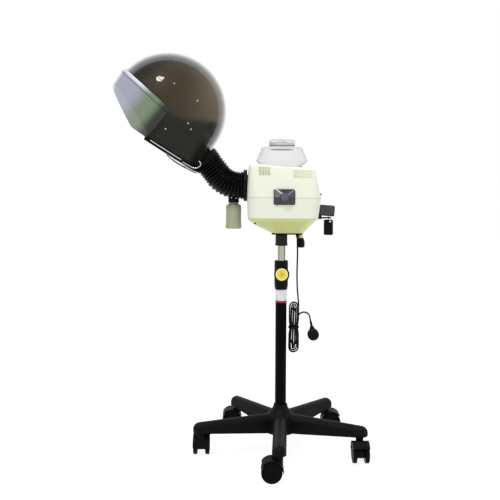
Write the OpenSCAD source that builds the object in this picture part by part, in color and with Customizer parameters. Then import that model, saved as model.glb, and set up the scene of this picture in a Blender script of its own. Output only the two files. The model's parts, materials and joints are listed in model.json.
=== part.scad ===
// Standing hair steamer: five-star caster base, telescopic column, steam head and tilting hood.
// The origin is on the floor under the column. +Z is up, -Y is the control side, -X is the hood side.

/* [Star base] */
// Distance from the column axis to each caster stem
leg_reach = 253; // [220:1:290]
// Width of a leg
leg_w = 41; // [36:1:48]
// Height of a leg's crown at the hub
leg_root_z = 117; // [112:1:125]
// Drop angle of the legs
leg_drop = 3; // [2:0.5:5]
// Height of the hub's underside
hub_bottom_z = 56; // [50:1:62]
// Height of the hub's top
hub_top_z = 143; // [138:1:155]
// Radius of the hub where the legs leave it
hub_r = 42; // [38:1:50]
// Wall of the moulded base
base_wall = 4; // [3:0.5:6]
// Direction of the front leg, counted from +X
front_leg_angle = -93; // [-100:1:-85]

/* [Casters] */
// Radius of a caster wheel
wheel_r = 30; // [25:0.5:32]
// Width of one caster wheel
wheel_w = 12.5; // [10:0.5:14]
// Width of the web between the two wheels
web_w = 24; // [20:0.5:28]
// Distance from the stem to the axle
caster_trail = 21; // [15:0.5:26]
// Radius of the steel stem
stem_r = 5.5; // [4:0.5:6]
// Radius of the caster axle
axle_r = 4; // [3:0.5:5]
// Height of the caster body's top
caster_top_z = 69; // [66:0.5:72]

/* [Column] */
// Radius of the column tube
column_r = 17.5; // [16.5:0.5:19]
// Wall of the column tube
column_wall = 2; // [1.5:0.25:3]
// Height of the column tube's top
column_top_z = 518; // [500:1:540]
// Radius of the chromed pole
pole_r = 12.5; // [11:0.5:13]
// Wall of the pole
pole_wall = 2; // [1.5:0.25:3]
// Height of the pole's lower end
pole_bottom_z = 160; // [150:1:200]
// Length of the guide bush in the column's mouth
bush_len = 44; // [30:1:60]

/* [Height clamp] */
// Radius of the clamp collar
collar_r = 21.5; // [20.5:0.5:25]
// Height of the clamp collar's lower end
collar_bottom_z = 503; // [495:1:510]
// Height of the clamp collar's top
collar_top_z = 593; // [580:1:600]
// Height of the clamp screw
clamp_z = 554; // [540:1:560]
// Radius of the clamp knob
knob_r = 24; // [20:0.5:28]
// Depth of the clamp knob
knob_depth = 17; // [12:0.5:22]
// Radius of the disc in the knob's face
disc_r = 19; // [15:0.5:19]
// Radius of the clamp screw
screw_r = 5; // [4:0.5:6]

/* [Head mounting] */
// Radius of the pole socket
socket_r = 19.5; // [18:0.5:22]
// Height of the pole socket's lower end
socket_bottom_z = 640; // [636:1:650]
// Height of the mount plate's underside
plate_z = 676; // [670:1:680]
// Thickness of the mount plate
plate_t = 5; // [3:0.5:6]

/* [Housing] */
// Height of the seam between the two shells
seam_z = 792; // [785:1:800]
// Reach of the housing on the hood side at the seam
house_left = 108.5; // [104:0.5:112]
// Reach of the housing on the far side at the seam
house_right = 118.5; // [114:0.5:124]
// Half of the housing's depth at the seam
house_half_d = 95; // [90:1:105]
// Height of the housing's top on the hood side
top_left_z = 896; // [892:1:902]
// Height of the housing's top on the far side
top_right_z = 883; // [880:1:888]
// Height of the crease round the underside
crease_z = 727; // [722:1:735]
// Wall of the shells
shell_t = 3; // [2.5:0.25:4]
// Radius of the housing's upright corners
corner_r = 34; // [28:1:40]

/* [Controls] */
// Width of the control plate
panel_w = 65; // [58:1:72]
// Height of the control plate
panel_h = 48; // [42:1:54]
// Centre of the control plate along X
panel_x = 4.5; // [0:0.5:10]
// Centre height of the control plate
panel_z = 795; // [790:1:800]
// Rise of the control plate's facets
panel_rise = 7; // [5:0.5:9]
// Radius of the timer knob
timer_knob_r = 12.5; // [10:0.5:14]
// Radius of the timer shaft
timer_shaft_r = 3; // [2.5:0.25:4]
// Radius of the power button
button_r = 4; // [3:0.25:5]

/* [Water jar] */
// Radius of the jar at its widest
jar_r = 81; // [76:0.5:84]
// Height of the jar's widest line
jar_wide_z = 906; // [903:0.5:910]
// Radius of the jar's shoulder
jar_shoulder_r = 66; // [62:0.5:70]
// Height of the jar's shoulder
jar_shoulder_z = 948; // [942:0.5:954]
// Radius of the jar's neck
jar_neck_r = 38; // [34:0.5:40]
// Wall of the jar
jar_wall = 2.5; // [2:0.25:4]
// Height of the well floor that the jar stands on
well_floor_z = 869.7; // [866:0.1:874]
// Radius of the well in the top shell
well_r = 66; // [64:0.5:69]
// Radius of the cap on the jar
cap_r = 41.5; // [40.5:0.5:44]
// Height of the cap's top
cap_top_z = 973; // [970:0.5:980]

/* [Boiler] */
// Radius of the boiler tank
tank_r = 50; // [46:0.5:54]
// Height of the tank's underside
tank_bottom_z = 704; // [700:1:710]
// Height of the tank's top
tank_top_z = 852; // [848:0.5:856]
// Wall of the tank
tank_wall = 2; // [1.5:0.25:3]
// Radius of the heating element's ring
heater_ring_r = 30; // [24:0.5:34]
// Radius of the heating element's tube
heater_tube_r = 4; // [3:0.5:5]

/* [Steam hose] */
// Height of the hose's outlet in the housing wall
hose_z = 828; // [826:0.5:832]
// Radius of the hose over its ribs
hose_r = 44; // [42:0.5:46]
// Depth of the hose's ribs
rib_depth = 4.5; // [3:0.5:6]
// Radius of the hose's bore
hose_bore_r = 35; // [32:0.5:37]
// Number of ribs on the hose
rib_count = 14; // [10:1:18]
// Bend radius of the hose's centre line
hose_bend_r = 85; // [80:1:90]
// Bend angle of the hose
hose_bend = 48; // [44:1:50]
// Radius of the collar on the housing wall
hose_collar_r = 49.5; // [47:0.5:52]
// Length of the collar outside the wall
hose_collar_len = 12; // [10:0.5:16]
// Radius of the elbow's pin
elbow_pin_r = 5; // [4:0.5:6]

/* [Drip cup] */
// Radius of the cup at its foot
cup_r = 25.5; // [22:0.5:28]
// Height of the cup's foot
cup_bottom_z = 693; // [685:1:700]
// Height of the cup's mouth
cup_top_z = 775; // [770:0.5:778]
// Radius of the cup's mouth
cup_mouth_r = 13; // [11:0.5:15]
// Distance of the cup from the column axis
cup_x = -151; // [-156:1:-146]

/* [Hood] */
// Radius of the dome
dome_r = 183; // [180:1:190]
// Depth of the dome's wall below its centre
dome_drop = 100; // [90:1:104]
// Wall of the dome
dome_t = 3; // [2.5:0.25:4]
// Distance from the column axis to the hood's centre
hood_x = -357; // [-365:0.5:-350]
// Height of the hood's centre
hood_z = 1061; // [1050:0.5:1065]
// Tilt of the hood at rest
hood_tilt = 33; // [28:0.5:36]
// Radius of the inner bowl
bowl_r = 158; // [150:1:162]
// Height of the ring under the dome's edge
rim_h = 11; // [8:0.5:14]
// Radius of the wires under the rim
wire_r = 1.6; // [1.2:0.1:2]

/* [Visor] */
// Gap between the dome and the visor
visor_gap = 3; // [2.5:0.25:4]
// Wall of the visor
visor_t = 3; // [2.5:0.25:3.5]
// Width of the raised band along the visor's upper edge
visor_band_w = 12.5; // [10:0.5:18]
// Radius of the visor's pivot screws
visor_pin_r = 3; // [2.5:0.25:3.5]

/* [Drain and side fittings] */
// Distance of the drain from the column axis
drain_x = 61; // [58:0.5:64]
// Radius of the drain spout
drain_r = 7; // [5:0.5:8]
// Radius of the drain cap
drain_cap_r = 12.3; // [11:0.1:13]
// Length of the side grip
grip_len = 48; // [44:1:56]
// Height of the side grip
grip_h = 34; // [28:1:38]
// Width of the hang tag
tag_w = 29; // [24:1:34]
// Height of the hang tag
tag_h = 49; // [42:1:56]

/* [Mains lead] */
// Diameter of the mains cord
cord_d = 5; // [4.8:0.1:5.6]
// Loops in the hank
hank_loops = 5; // [3:1:5]
// Radius of the plug's body
plug_r = 18; // [16:0.5:20]
// Thickness of the plug's body
plug_t = 26; // [22:1:30]

/* [Clearances] */
// Running clearance on a radius
run_gap = 0.05; // [0.02:0.01:0.09]
// Gap between seated pieces
seat_gap = 0.3; // [0.2:0.05:0.4]

/* [Hidden] */
$fn = 72;
eps = 0.01;
leg_count = 5;
leg_step = 360 / leg_count;
CASTER_TURNS = [-87, -69, -51, 57, -105];

axle_z = wheel_r;
stem_top_z = 97;
stem_boss_r = stem_r + 6;
boss_bottom_z = caster_top_z + seat_gap;
leg_tip_r = leg_w / 2;
arm_drop = leg_reach * tan(leg_drop);

socket_top_z = plate_z;
pole_top_z = socket_top_z - 2 - seat_gap;
house_bottom_z = plate_z + plate_t;
front_y = -house_half_d;
plate_left = -31;
plate_right = 64;
plate_half_d = 30;
well_reach = 60;
vent_w = 2;
vent_h = 26;
slot_reach = 60;
window_w = 34;
window_h = 30;

cord_exit = [49, -17];
wall_left_x = -house_left;
collar_face_x = wall_left_x - seat_gap - hose_collar_len;
hose_straight = 13;
bend_start_x = collar_face_x - hose_straight;
hose_dir = [-cos(hose_bend), 0, sin(hose_bend)];
bend_end = [
    bend_start_x - hose_bend_r * sin(hose_bend),
    0,
    hose_z + hose_bend_r * (1 - cos(hose_bend))
];
elbow = [
    bend_start_x - hose_bend_r * sin(hose_bend / 2),
    0,
    hose_z + hose_bend_r * (1 - cos(hose_bend / 2))
];
bend_len = hose_bend_r * hose_bend * PI / 180;
neck_point = [dome_r + 13, -68];
hose_end = [
    hood_x + neck_point[0] * cos(hood_tilt) + neck_point[1] * sin(hood_tilt),
    0,
    hood_z - neck_point[0] * sin(hood_tilt) + neck_point[1] * cos(hood_tilt)
];
run_vector = hose_end - bend_end;
hose_run = norm(run_vector);
run_angle = atan2(run_vector[2], -run_vector[0]);
hose_len = hose_straight + bend_len + hose_run;

visor_in_r = dome_r + visor_gap;
visor_out_r = visor_in_r + visor_t;
band_out_r = visor_out_r + 2;
visor_pivot = [1, 2];
visor_corner = [26, 5];
visor_rise = 8.5;
visor_rear = [14, -dome_drop - 2.5];
visor_face = [-40, -dome_drop - 1];
visor_front = [-dome_r - 3, -27];
cut_corner = [-14, -8];
cut_run = [24, -103];

heater_gap = 44;
drain_cap_top_z = 664;
grip_x = 117.5;
grip_z = 752.5;
rod_z = 728;
rod_r = 2.5;
tag_x = grip_x + 30;
button_z = 801;

cord_r = cord_d / 2;
hank_x = 40;
hank_r = 15;
hank_top_z = 462;
hank_bottom_z = 306;
hank_tie_z = 384;
hank_waist = 3;
hank_turn = 14;
hank_nest = cord_d + 1;
CORD_ROUTE = [
    [49, -17, 666], [49, -17, 656], [49.5, -16.5, 640], [50, -15.5, 620], [49.5, -14, 590], [49, -12, 560],
    [49.5, -9.5, 530], [51, -6.5, 500], [53, -3, 480], [54.6, -0.8, 464], [55, 0, 456], [55, 0, 447]
];
LEAD_ROUTE = [
    [51, -10.2, 412], [52.2, -10.3, 418.8], [55.7, -10.2, 424.9], [61, -9.7, 429.3], [67.5, -8.6, 431.7],
    [74.5, -6.9, 431.7], [81, -4.7, 429.3], [86.3, -2.5, 424.9], [89.3, -1, 420], [91.1, -0.2, 413.5],
    [92.2, 0, 408], [93.4, 0, 402]
];

plug_entry = LEAD_ROUTE[len(LEAD_ROUTE) - 1];
plug_dir = unit(plug_entry - LEAD_ROUTE[len(LEAD_ROUTE) - 2]);
plug_angle = atan2(plug_dir[0], -plug_dir[2]);
plug_side = [cos(plug_angle), 0, sin(plug_angle)];
plug_reach = 42;

// Points on an arc round a centre
function arc(c, r, a0, a1, steps) =
    [for (i = [0 : steps]) c + r * [cos(a0 + (a1 - a0) * i / steps), sin(a0 + (a1 - a0) * i / steps)]];

function unit(v) = v / norm(v);
function leg_angle(i) = front_leg_angle + leg_step * i;

// Tube swept along points, with rings square to the run
function run_dir(p, i) = unit(p[min(i + 1, len(p) - 1)] - p[max(i - 1, 0)]);
function side_dir(d, ref) = unit(cross(d, ref));
function tube_ring(c, d, r, sides, ref) =
    let (a = side_dir(d, ref), b = cross(d, a))
    [for (k = [0 : sides - 1]) c + r * (cos(360 * k / sides) * a + sin(360 * k / sides) * b)];
function ring_faces(rings, sides) = [
    for (i = [0 : rings - 2], k = [0 : sides - 1])
        let (a = i * sides + k, b = i * sides + (k + 1) % sides)
        each [[a, b, b + sides], [a, b + sides, a + sides]]
];
function cap_faces(start, sides, turn) =
    [for (k = [1 : sides - 2]) turn ? [start, start + k + 1, start + k] : [start, start + k, start + k + 1]];

module swept_tube(p, r, sides, ref) {
    points = [
        for (i = [0 : len(p) - 1])
            each tube_ring(p[i], run_dir(p, i), r, sides, is_list(ref[0]) ? ref[i] : ref)
    ];
    faces = concat(
        ring_faces(len(p), sides),
        cap_faces(0, sides, true),
        cap_faces((len(p) - 1) * sides, sides, false)
    );
    polyhedron(points, [for (f = faces) [f[2], f[1], f[0]]]);
}

// Rounded rectangle in plan, given by its left, right and half depth
module plan(left, right, half_d, r) {
    translate([left + r, -half_d]) square([right - left - 2 * r, 2 * half_d]);
    translate([left, -half_d + r]) square([right - left, 2 * half_d - 2 * r]);
    for (x = [left + r, right - r], y = [-half_d + r, half_d - r])
        translate([x, y]) circle(r, $fn = 32);
}

module rounded_plate(w, h, r) {
    square([w - 2 * r, h], center = true);
    square([w, h - 2 * r], center = true);
    for (x = [-1, 1], y = [-1, 1])
        translate([x * (w / 2 - r), y * (h / 2 - r)]) circle(r);
}

module in_hood() {
    translate([hood_x, 0, hood_z]) rotate([0, hood_tilt, 0]) children();
}

// Solid dome with a straight wall below its centre
module dome_form(r, drop) {
    rotate_extrude() intersection() {
        union() {
            circle(r);
            translate([0, -drop]) square([r, drop]);
        }
        translate([0, -drop]) square([r, drop + r]);
    }
}

module dome_shell(outer, inner, drop) {
    difference() {
        dome_form(outer, drop);
        translate([0, 0, -eps]) dome_form(inner, drop + 1);
    }
}

// Wall cut in the hood's side view and run across its whole width
module across_hood(points) {
    rotate([90, 0, 0]) linear_extrude(3 * dome_r, center = true) polygon(points);
}

module face_opening() {
    across_hood([
        cut_corner,
        [-260, cut_corner[1] + (260 + cut_corner[0]) * tan(visor_rise)],
        [-260, -200],
        cut_corner + 1.7 * cut_run
    ]);
}

// One leg, with a round crown and a hollow underside
module leg_body(inset) {
    r = leg_w / 2 - inset;
    rotate([0, leg_drop, 0]) {
        translate([0, 0, leg_root_z - leg_w / 2]) {
            rotate([0, 90, 0]) cylinder(h = leg_reach, r = r);
            translate([0, -r, -60]) cube([leg_reach, 2 * r, 60]);
            translate([leg_reach, 0, 0]) sphere(r);
            translate([leg_reach, 0, -60]) cylinder(h = 60, r = r);
        }
    }
}

module leg_floor() {
    rotate([0, leg_drop - 7, 0]) translate([-20, -60, -40]) cube([leg_reach + 80, 120, hub_bottom_z + 40]);
}

module star_base() {
    color("#17181a") difference() {
        union() {
            for (i = [0 : leg_count - 1]) rotate(leg_angle(i)) difference() {
                leg_body(0);
                leg_floor();
                difference() {
                    leg_body(base_wall);
                    translate([-1, -30, -60]) cube([hub_r - base_wall + 1, 60, 200]);
                    for (x = [90 : 45 : 200]) translate([x, -30, -60]) cube([3, 60, 200]);
                    translate([leg_reach, 0, -60]) cylinder(h = 200, r = stem_boss_r);
                }
            }
            rotate_extrude() polygon(concat(
                [[0, hub_bottom_z], [hub_r + 2, hub_bottom_z], [hub_r + 2, leg_root_z - 10]],
                arc([hub_r + 2, hub_top_z - 1], hub_r - column_r - 2, 225, 180, 5),
                [[column_r + 3.5, hub_top_z], [0, hub_top_z]]
            ));
        }
        translate([0, 0, hub_bottom_z + 6]) cylinder(h = 200, r = column_r + run_gap);
        translate([0, 0, hub_bottom_z - 1]) cylinder(h = 20, r = column_r - 5);
        for (i = [0 : leg_count - 1]) rotate(leg_angle(i)) {
            translate([leg_reach, 0, 0]) cylinder(h = stem_top_z + seat_gap, r = stem_r + run_gap);
            translate([leg_reach - 40, -40, -20]) cube([90, 80, boss_bottom_z + 20]);
        }
    }
}

module at_caster(i) {
    rotate(leg_angle(i)) translate([leg_reach, 0, 0]) rotate(CASTER_TURNS[i]) children();
}

module caster_stem(i) {
    color("#b9bcc0") at_caster(i) {
        translate([0, 0, 46]) cylinder(h = stem_top_z - 46, r = stem_r);
    }
}

module caster_hood(i) {
    total_w = web_w + 2 * wheel_w + 2;
    color("#141517") at_caster(i) difference() {
        union() {
            intersection() {
                translate([caster_trail, 0, axle_z]) rotate([90, 0, 0])
                    cylinder(h = total_w, r = wheel_r + 4.5, center = true);
                rotate([0, -18, 0]) translate([-60, -60, axle_z + 2]) cube([140, 120, 90]);
            }
            translate([caster_trail, 0, axle_z]) rotate([90, 0, 0])
                cylinder(h = web_w - 1, r = 16, center = true);
            translate([0, 0, axle_z + 2]) cylinder(h = caster_top_z - axle_z - 2, r = stem_boss_r);
        }
        translate([caster_trail, 0, axle_z]) rotate([90, 0, 0]) {
            cylinder(h = 2 * total_w, r = axle_r + run_gap, center = true);
            for (s = [-1, 1]) translate([0, 0, s * (web_w / 2 + wheel_w)])
                cylinder(h = 2 * wheel_w + 1, r = wheel_r + 1.8, center = true);
        }
        translate([0, 0, 46 - seat_gap]) cylinder(h = 60, r = stem_r + run_gap);
        translate([-60, -60, caster_top_z]) cube([160, 120, 40]);
    }
}

module caster_wheels(i) {
    edge = 2.5;
    color("#0f1012") at_caster(i) translate([caster_trail, 0, axle_z]) rotate([90, 0, 0]) {
        for (s = [0, 1]) mirror([0, 0, s]) translate([0, 0, web_w / 2 + seat_gap]) rotate_extrude() polygon(
            concat(
                [[0, 0], [wheel_r - edge, 0]],
                arc([wheel_r - edge, edge], edge, -90, 0, 4),
                arc([wheel_r - edge, wheel_w - edge], edge, 0, 90, 4),
                [[wheel_r - 7, wheel_w], [wheel_r - 9, wheel_w - 2], [9, wheel_w - 2]],
                [[7, wheel_w], [0, wheel_w]]
            )
        );
        cylinder(h = web_w + 2, r = axle_r, center = true);
    }
}

module column_tube() {
    color("#0d0d0e") difference() {
        translate([0, 0, hub_bottom_z + 6]) cylinder(h = column_top_z - hub_bottom_z - 6, r = column_r);
        cylinder(h = 2 * column_top_z, r = column_r - column_wall);
    }
}

module pole_bush() {
    color("#e8e6da") translate([0, 0, column_top_z - bush_len]) difference() {
        cylinder(h = bush_len, r = column_r - column_wall - run_gap);
        translate([0, 0, -1]) cylinder(h = bush_len + 2, r = pole_r + run_gap);
    }
}

module clamp_collar() {
    boss_r = 12;
    boss_y = collar_r + 5;
    color("#101113") difference() {
        union() {
            rotate_extrude() polygon([
                [0, collar_bottom_z], [column_r + 1.8, collar_bottom_z], [collar_r, collar_bottom_z + 14],
                [collar_r, collar_top_z - 1.5], [collar_r - 1.5, collar_top_z], [0, collar_top_z]
            ]);
            translate([0, 0, clamp_z]) rotate([90, 0, 0]) cylinder(h = boss_y, r = boss_r);
        }
        cylinder(h = 2 * collar_top_z, r = pole_r + run_gap);
        cylinder(h = column_top_z + seat_gap, r = column_r + run_gap);
        translate([0, 0, clamp_z]) rotate([90, 0, 0]) cylinder(h = boss_y + 1, r = screw_r + run_gap);
        translate([collar_r - 2, -0.8, clamp_z - 25]) cube([4, 1.6, 50]);
    }
}

knob_y = collar_r + 5 + seat_gap;

module at_clamp() {
    translate([0, 0, clamp_z]) rotate([90, 0, 0]) children();
}

module clamp_knob() {
    flutes = 16;
    color("#0b0b0c") at_clamp() translate([0, 0, knob_y]) difference() {
        rotate_extrude() polygon(concat(
            [[0, 0], [knob_r - 6, 0], [knob_r - 1.5, 4]],
            arc([knob_r - 2.5, knob_depth - 2.5], 2.5, 0, 90, 4),
            [[0, knob_depth]]
        ));
        translate([0, 0, knob_depth - 2]) cylinder(h = 5, r = disc_r + run_gap);
        translate([0, 0, -1]) cylinder(h = 11 + seat_gap, r = screw_r + run_gap);
        for (k = [0 : flutes - 1]) rotate(360 * k / flutes)
            translate([knob_r + 1.4, 0, 3]) cylinder(h = knob_depth, r = 2);
    }
}

module knob_disc() {
    color("#e0d23c") at_clamp() translate([0, 0, knob_y + knob_depth - 2]) rotate_extrude()
        polygon([[0, 0], [disc_r, 0], [disc_r, 2.4], [disc_r - 1, 3], [disc_r - 3.5, 3], [disc_r - 4, 2.4], [0, 2.4]]);
}

module clamp_screw() {
    tip = pole_r + seat_gap;
    color("#c3c6ca") at_clamp() translate([0, 0, tip]) cylinder(h = knob_y + 10 - tip, r = screw_r);
}

module pole() {
    color("#d5d8db") difference() {
        translate([0, 0, pole_bottom_z]) cylinder(h = pole_top_z - pole_bottom_z, r = pole_r);
        translate([0, 0, pole_bottom_z - 1]) cylinder(h = pole_top_z, r = pole_r - pole_wall);
    }
}

module pole_socket() {
    color("#1d1e20") difference() {
        rotate_extrude() polygon([
            [0, socket_bottom_z], [socket_r - 1, socket_bottom_z], [socket_r, socket_bottom_z + 1],
            [socket_r, socket_bottom_z + 5], [socket_r - 0.8, socket_bottom_z + 6],
            [socket_r - 0.8, socket_top_z], [0, socket_top_z]
        ]);
        cylinder(h = pole_top_z + seat_gap, r = pole_r + run_gap);
    }
}

module mount_plate() {
    color("#121314") translate([0, 0, plate_z]) difference() {
        linear_extrude(plate_t) plan(plate_left, plate_right, plate_half_d, 8);
        translate([drain_x, 0, -1]) cylinder(h = plate_t + 2, r = drain_r + seat_gap);
        translate([cord_exit[0], cord_exit[1], -1]) cylinder(h = plate_t + 2, r = cord_r + 3 + seat_gap);
        for (s = [-1, 1]) translate([-10, s * 20, -1]) cylinder(h = plate_t + 2, r = 2.5);
    }
}

// Outer form of the lower shell, shrunk by an inset for the hollow, which runs out past the seam
module lower_form(inset) {
    hull() {
        translate([0, 0, seam_z - 1]) linear_extrude(inset > 0 ? 3 : 1)
            plan(-house_left + inset, house_right - inset, house_half_d - inset, corner_r);
        translate([0, 0, crease_z + 3]) linear_extrude(1)
            plan(-house_left + 2 + inset, house_right - 8 - inset, house_half_d - 2 - inset, corner_r);
        translate([0, 0, crease_z - 6 + inset / 2]) linear_extrude(1)
            plan(-house_left + 6 + inset, house_right - 18 - inset, house_half_d - 10 - inset, corner_r - 4);
        translate([0, 0, crease_z - 22 + inset]) linear_extrude(1)
            plan(-house_left + 26 + inset, house_right - 31 - inset, house_half_d - 30 - inset, corner_r - 6);
        translate([0, 0, house_bottom_z + inset]) linear_extrude(1)
            plan(-34 + inset, 68 - inset, 38 - inset, 24);
    }
}

// Outer form of the upper shell, with its top edge rounded, and its hollow run out past the seam
module upper_form(inset) {
    r_left = 14 - inset;
    r_right = 10 - inset;
    hull() {
        translate([0, 0, inset > 0 ? seam_z - 2 : seam_z]) linear_extrude(1)
            plan(-house_left + inset, house_right - inset, house_half_d - inset, corner_r);
        translate([0, 0, seam_z + 36]) linear_extrude(1)
            plan(-house_left + 1 + inset, house_right - 9 - inset, house_half_d - 4 - inset, corner_r - 6);
        for (s = [-1, 1]) {
            translate([-house_left + 4 + 14, s * (house_half_d - 10 - 14), top_left_z - 14])
                sphere(r_left, $fn = 24);
            translate([house_right - 20 - 10, s * (house_half_d - 12 - 10), top_right_z - 10])
                sphere(r_right, $fn = 24);
        }
    }
}

module housing_lower() {
    tank_foot_r = 25;
    color("#eff1e0") difference() {
        lower_form(0);
        difference() {
            lower_form(shell_t);
            translate([0, 0, house_bottom_z]) {
                translate([drain_x, 0, 0]) cylinder(h = 20, r = drain_r + 3);
            }
            translate([0, 0, house_bottom_z]) difference() {
                cylinder(h = tank_bottom_z - house_bottom_z - seat_gap, r = tank_foot_r);
                translate([0, 0, -1]) cylinder(h = 40, r = tank_foot_r - 7);
            }
        }
        translate([drain_x, 0, house_bottom_z - 1]) cylinder(h = 40, r = drain_r + run_gap);
        translate([cord_exit[0], cord_exit[1], house_bottom_z - 1]) cylinder(h = 40, r = cord_r + 3 + run_gap);
        for (s = [-1, 1]) translate([-10, s * 20, house_bottom_z - 1]) cylinder(h = 14, r = 1.8);
        panel_window();
        translate([house_right - 12, 0, grip_z]) rotate([0, 90, 0]) cylinder(h = 30, r = 4);
    }
}

module panel_window() {
    translate([panel_x, front_y, panel_z]) cube([window_w, slot_reach - 20, window_h], center = true);
}

module vent_slots(x, z, count, height, pitch) {
    for (k = [0 : count - 1]) translate([x + k * pitch, front_y + 22, z]) cube([vent_w, slot_reach, height], center = true);
}

module housing_upper() {
    color("#f3f4e6") difference() {
        union() {
            difference() {
                upper_form(0);
                upper_form(shell_t);
            }
            intersection() {
                union() {
                    translate([0, 0, well_floor_z - shell_t]) cylinder(h = well_reach, r = well_r + shell_t);
                    translate([0, 0, jar_foot_z + 10]) cylinder(h = 30, r = well_r + shell_t + 9);
                }
                upper_form(0);
            }
        }
        translate([0, 0, well_floor_z]) cylinder(h = well_reach, r = well_r);
        translate([0, 0, jar_foot_z + jar_heel_h])
            cylinder(h = jar_wide_z - jar_foot_z - jar_heel_h, r1 = jar_heel_r + 1, r2 = jar_r + 4.5);
        translate([0, 0, well_floor_z - 10]) cylinder(h = well_reach, r = 18.5);
        translate([-house_left - 20, 0, hose_z]) rotate([0, 90, 0]) cylinder(h = 50, r = 34 + seat_gap);
        translate([house_right - 30, 0, button_z]) rotate([0, 90, 0]) cylinder(h = 50, r = button_r + seat_gap);
        vent_slots(-house_left + 36.5, top_left_z - 23, 8, vent_h, 4.6);
        vent_slots(house_right - 84.5, top_right_z - 19, 12, vent_h - 2, 4.9);
        panel_window();
    }
}

module control_plate() {
    color("#46464e") difference() {
        union() {
            translate([panel_x, front_y - 0.2, panel_z]) rotate([90, 0, 0]) {
                linear_extrude(2.5) rounded_plate(panel_w, panel_h, 6);
                hull() {
                    translate([0, 0, 2.5]) linear_extrude(0.5) square([panel_w - 7, panel_h - 7], center = true);
                    translate([0, 0, panel_rise - 0.5]) linear_extrude(0.5) circle(timer_knob_r + 1.5, $fn = 32);
                }
                translate([0, 0, -shell_t]) cylinder(h = shell_t + 1, r = 9);
            }
            difference() {
                translate([panel_x, front_y + 4, panel_z]) rotate([90, 0, 0])
                    linear_extrude(4.2) rounded_plate(panel_w, panel_h, 6);
                lower_form(-seat_gap / 2);
                upper_form(-seat_gap / 2);
            }
        }
        translate([panel_x, front_y + 10, panel_z]) rotate([90, 0, 0]) cylinder(h = 40, r = timer_shaft_r + 1);
    }
}

module timer_unit() {
    face_y = front_y + shell_t;
    color("#8c8f94") difference() {
        union() {
            translate([panel_x, face_y + 18, panel_z]) cube([32, 24, 28], center = true);
            translate([panel_x, face_y + 8, panel_z]) rotate([90, 0, 0]) cylinder(h = 7.5, r = 8);
        }
        translate([panel_x, face_y + 24, panel_z]) rotate([90, 0, 0]) cylinder(h = 40, r = timer_shaft_r + run_gap);
    }
}

module timer_knob() {
    color("#2f2f35") translate([panel_x, front_y - 0.2 - panel_rise - seat_gap, panel_z]) rotate([90, 0, 0]) {
        difference() {
            rotate_extrude() polygon([
                [0, 0], [timer_knob_r, 0], [timer_knob_r - 0.6, 7], [timer_knob_r - 2, 8], [0, 8]
            ]);
            translate([-0.8, timer_knob_r - 6, 7]) cube([1.6, 5, 3]);
        }
        translate([0, 0, -26]) cylinder(h = 27, r = timer_shaft_r);
    }
}

module power_button() {
    face_x = house_right + 6.5;
    color("#0e0e0f") translate([0, 0, button_z]) rotate([0, 90, 0]) {
        translate([0, 0, face_x - 16]) rotate_extrude()
            polygon([[0, 0], [button_r, 0], [button_r, 15], [button_r - 1, 16], [0, 16]]);
        translate([0, 0, face_x - 18]) cylinder(h = 2, r = button_r + 2);
    }
}

module boiler_tank() {
    color("#c9ccd0") difference() {
        union() {
            translate([0, 0, tank_bottom_z]) cylinder(h = tank_top_z - tank_bottom_z, r = tank_r);
            translate([0, 0, hose_z - 4]) rotate([0, -90, 0]) cylinder(h = house_left - 12, r = 18);
        }
        translate([0, 0, tank_bottom_z + tank_wall])
            cylinder(h = tank_top_z - tank_bottom_z - 2 * tank_wall, r = tank_r - tank_wall);
        translate([0, 0, tank_top_z - 10]) cylinder(h = 20, r = 22);
        translate([0, 0, hose_z - 4]) rotate([0, -90, 0]) cylinder(h = house_left, r = 18 - tank_wall);
        for (s = [-1, 1]) rotate(s * heater_gap / 2) translate([heater_ring_r, 0, tank_bottom_z - 1])
            cylinder(h = 10, r = heater_tube_r + 0.5 + run_gap);
    }
}

module heater_element() {
    ring_z = tank_bottom_z + 14;
    color("#a8662f") {
        translate([0, 0, ring_z]) rotate(heater_gap / 2) rotate_extrude(angle = 360 - heater_gap)
            translate([heater_ring_r, 0]) circle(heater_tube_r);
        for (s = [-1, 1]) rotate(s * heater_gap / 2) translate([heater_ring_r, 0, tank_bottom_z - 10])
            cylinder(h = ring_z - tank_bottom_z + 10 + heater_tube_r + 1, r = heater_tube_r + 0.5);
    }
}

module tank_seal() {
    color("#7a2f22") translate([0, 0, tank_top_z - tank_wall]) difference() {
        union() {
            cylinder(h = 8, r = 22 - run_gap);
            translate([0, 0, tank_wall]) cylinder(h = 5, r = 26);
        }
        translate([0, 0, -1]) cylinder(h = 20, r = 16 + seat_gap);
    }
}

jar_foot_z = well_floor_z + seat_gap;
jar_heel_r = 60;
jar_heel_h = 14;

// Outline of the jar from its spigot up to its neck, shrunk by an inset
function jar_side(i) = concat(
    [[16 - i, jar_foot_z - 22], [16 - i, jar_foot_z + i], [50 - i, jar_foot_z + i]],
    [[57 - i, jar_foot_z + 6 + i], [jar_heel_r - i, jar_foot_z + jar_heel_h + i]],
    arc([jar_r - 7 - i, jar_wide_z], 7, -40, 20, 4),
    arc([jar_shoulder_r - 8 - i, jar_shoulder_z - 6 - i], 8, 14, 84, 4),
    [[jar_neck_r - i, jar_shoulder_z + 4 - i], [jar_neck_r - i, jar_shoulder_z + 15]]
);

module water_jar() {
    top = jar_shoulder_z + 15;
    color("#dfe7ea", 0.5) rotate_extrude() difference() {
        polygon(concat([[0, jar_foot_z - 22]], jar_side(0), [[0, top]]));
        polygon(concat([[0, jar_foot_z - 23], [16 - jar_wall, jar_foot_z - 23]], jar_side(jar_wall),
            [[jar_neck_r - jar_wall, top + 1], [0, top + 1]]));
    }
}

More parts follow.
